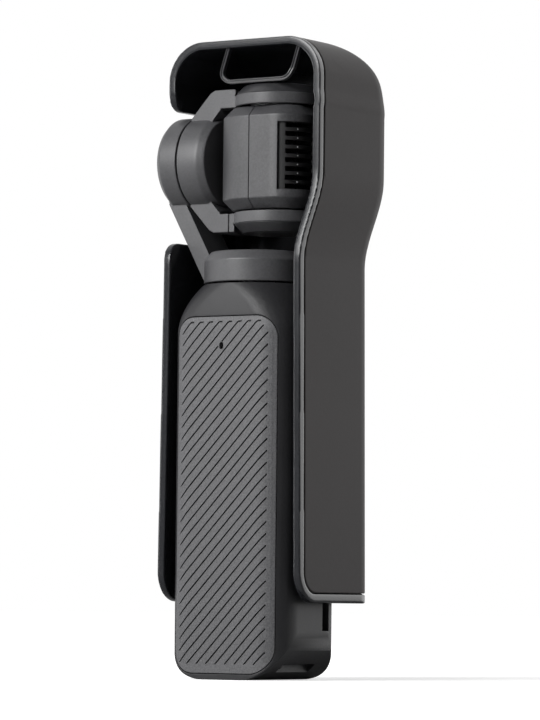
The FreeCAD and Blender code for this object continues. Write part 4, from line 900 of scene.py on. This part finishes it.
GLOW_NEAR, GLOW_FAR, GLOW_LEVEL = 0.03, 0.3, 0.55
BACKDROP_NEAR, BACKDROP_FAR = 0.1, 0.4
BACKDROP_RAMP = 0.3


def eyes(tree):
    """Whether a ray looks straight at the surroundings, and whether it sees them in a gloss."""
    path = add(tree, "ShaderNodeLightPath")
    clear = sums(tree, "MAXIMUM", path.outputs["Is Camera Ray"],
                 path.outputs["Is Transmission Ray"])
    return clear, path.outputs["Is Glossy Ray"]


def white_sweep():
    material, tree, place = blank("paper_sweep")
    away = add(tree, "ShaderNodeVectorMath", {}, {0: place}, operation="LENGTH")
    level = add(tree, "ShaderNodeMapRange",
                {"From Min": GLOW_NEAR, "From Max": GLOW_FAR, "To Min": GLOW_LEVEL, "To Max": 1.0},
                {"Value": away.outputs["Value"]}, interpolation_type="SMOOTHSTEP")
    pale = add(tree, "ShaderNodeBsdfDiffuse", {"Color": linear("#e6e6e6")})
    glow = add(tree, "ShaderNodeEmission", {"Color": (1, 1, 1, 1)},
               {"Strength": level.outputs["Result"]})
    shown = add(tree, "ShaderNodeAddShader", {}, {0: pale.outputs[0], 1: glow.outputs[0]})
    dim = add(tree, "ShaderNodeBsdfDiffuse", {"Color": linear("#b4b4b4")})
    clear, mirrored = eyes(tree)
    depth = add(tree, "ShaderNodeVectorMath", {1: -back}, {0: place}, operation="DOT_PRODUCT")
    behind = add(tree, "ShaderNodeMapRange", {"From Min": BACKDROP_NEAR, "From Max": BACKDROP_FAR},
                 {"Value": depth.outputs["Value"]})
    mirrored = sums(tree, "MULTIPLY", mirrored, behind.outputs["Result"])
    seen = add(tree, "ShaderNodeMixShader", {}, {0: sums(tree, "MAXIMUM", clear, mirrored),
                                                 1: dim.outputs[0], 2: shown.outputs[0]})
    add(tree, "ShaderNodeOutputMaterial", {}, {"Surface": seen.outputs[0]})
    return material


FLOOR_HALF = 6.0
floor_mesh = bpy.data.meshes.new("studio_floor")
corners = [(-FLOOR_HALF, -FLOOR_HALF, 0), (FLOOR_HALF, -FLOOR_HALF, 0),
           (FLOOR_HALF, FLOOR_HALF, 0), (-FLOOR_HALF, FLOOR_HALF, 0)]
floor_mesh.from_pydata(corners, [], [(0, 1, 2, 3)])
floor = bpy.data.objects.new("studio_floor", floor_mesh)
floor.data.materials.append(white_sweep())
bpy.context.scene.collection.objects.link(floor)

WORLD_LEVEL, MIRROR_LEVEL = 0.09, 1.0
world = bpy.data.worlds.new("white_studio")
world.use_nodes = True
sky = world.node_tree
sky.nodes.clear()
way = add(sky, "ShaderNodeTexCoord").outputs["Generated"]
behind = add(sky, "ShaderNodeVectorMath", {1: -back}, {0: way}, operation="DOT_PRODUCT")
backdrop = add(sky, "ShaderNodeMapRange", {"From Max": BACKDROP_RAMP, "To Max": MIRROR_LEVEL},
               {"Value": behind.outputs["Value"]})
clear, mirrored = eyes(sky)
seen = sums(sky, "MAXIMUM", clear, sums(sky, "MULTIPLY", mirrored, backdrop.outputs["Result"]))
level = sums(sky, "MULTIPLY_ADD", seen, 1.0 - WORLD_LEVEL, WORLD_LEVEL)
air = add(sky, "ShaderNodeBackground", {"Color": (1, 1, 1, 1)}, {"Strength": level})
add(sky, "ShaderNodeOutputWorld", {}, {"Surface": air.outputs[0]})
bpy.context.scene.world = world
bpy.context.scene.view_settings.view_transform = "Standard"

# %% Lamps
MIDDLE = Vector((0.0, 0.0, 80.0 * MM))


def lamp(name, sideways, upward, backward, distance, width, height, watts):
    """A soft lamp, placed by the viewer's own directions, facing the object."""
    light = bpy.data.lights.new(name, "AREA")
    light.shape, light.size, light.size_y, light.energy = "RECTANGLE", width, height, watts
    item = bpy.data.objects.new(name, light)
    way = (right * sideways + up * upward + back * backward).normalized()
    item.location = MIDDLE + way * distance
    item.rotation_mode = "QUATERNION"
    item.rotation_quaternion = way.to_track_quat("Z", "Y")
    bpy.context.scene.collection.objects.link(item)
    return item


lamp("key_softbox", -0.66, 0.5, 0.55, 0.75, 0.4, 0.4, 7.4)
lamp("edge_strip", -0.99, 0.05, 0.04, 0.7, 0.08, 0.5, 1.1)
lamp("skin_softbox", 0.85, 0.25, -0.42, 0.8, 0.9, 0.9, 4.3)
print("lamps placed")
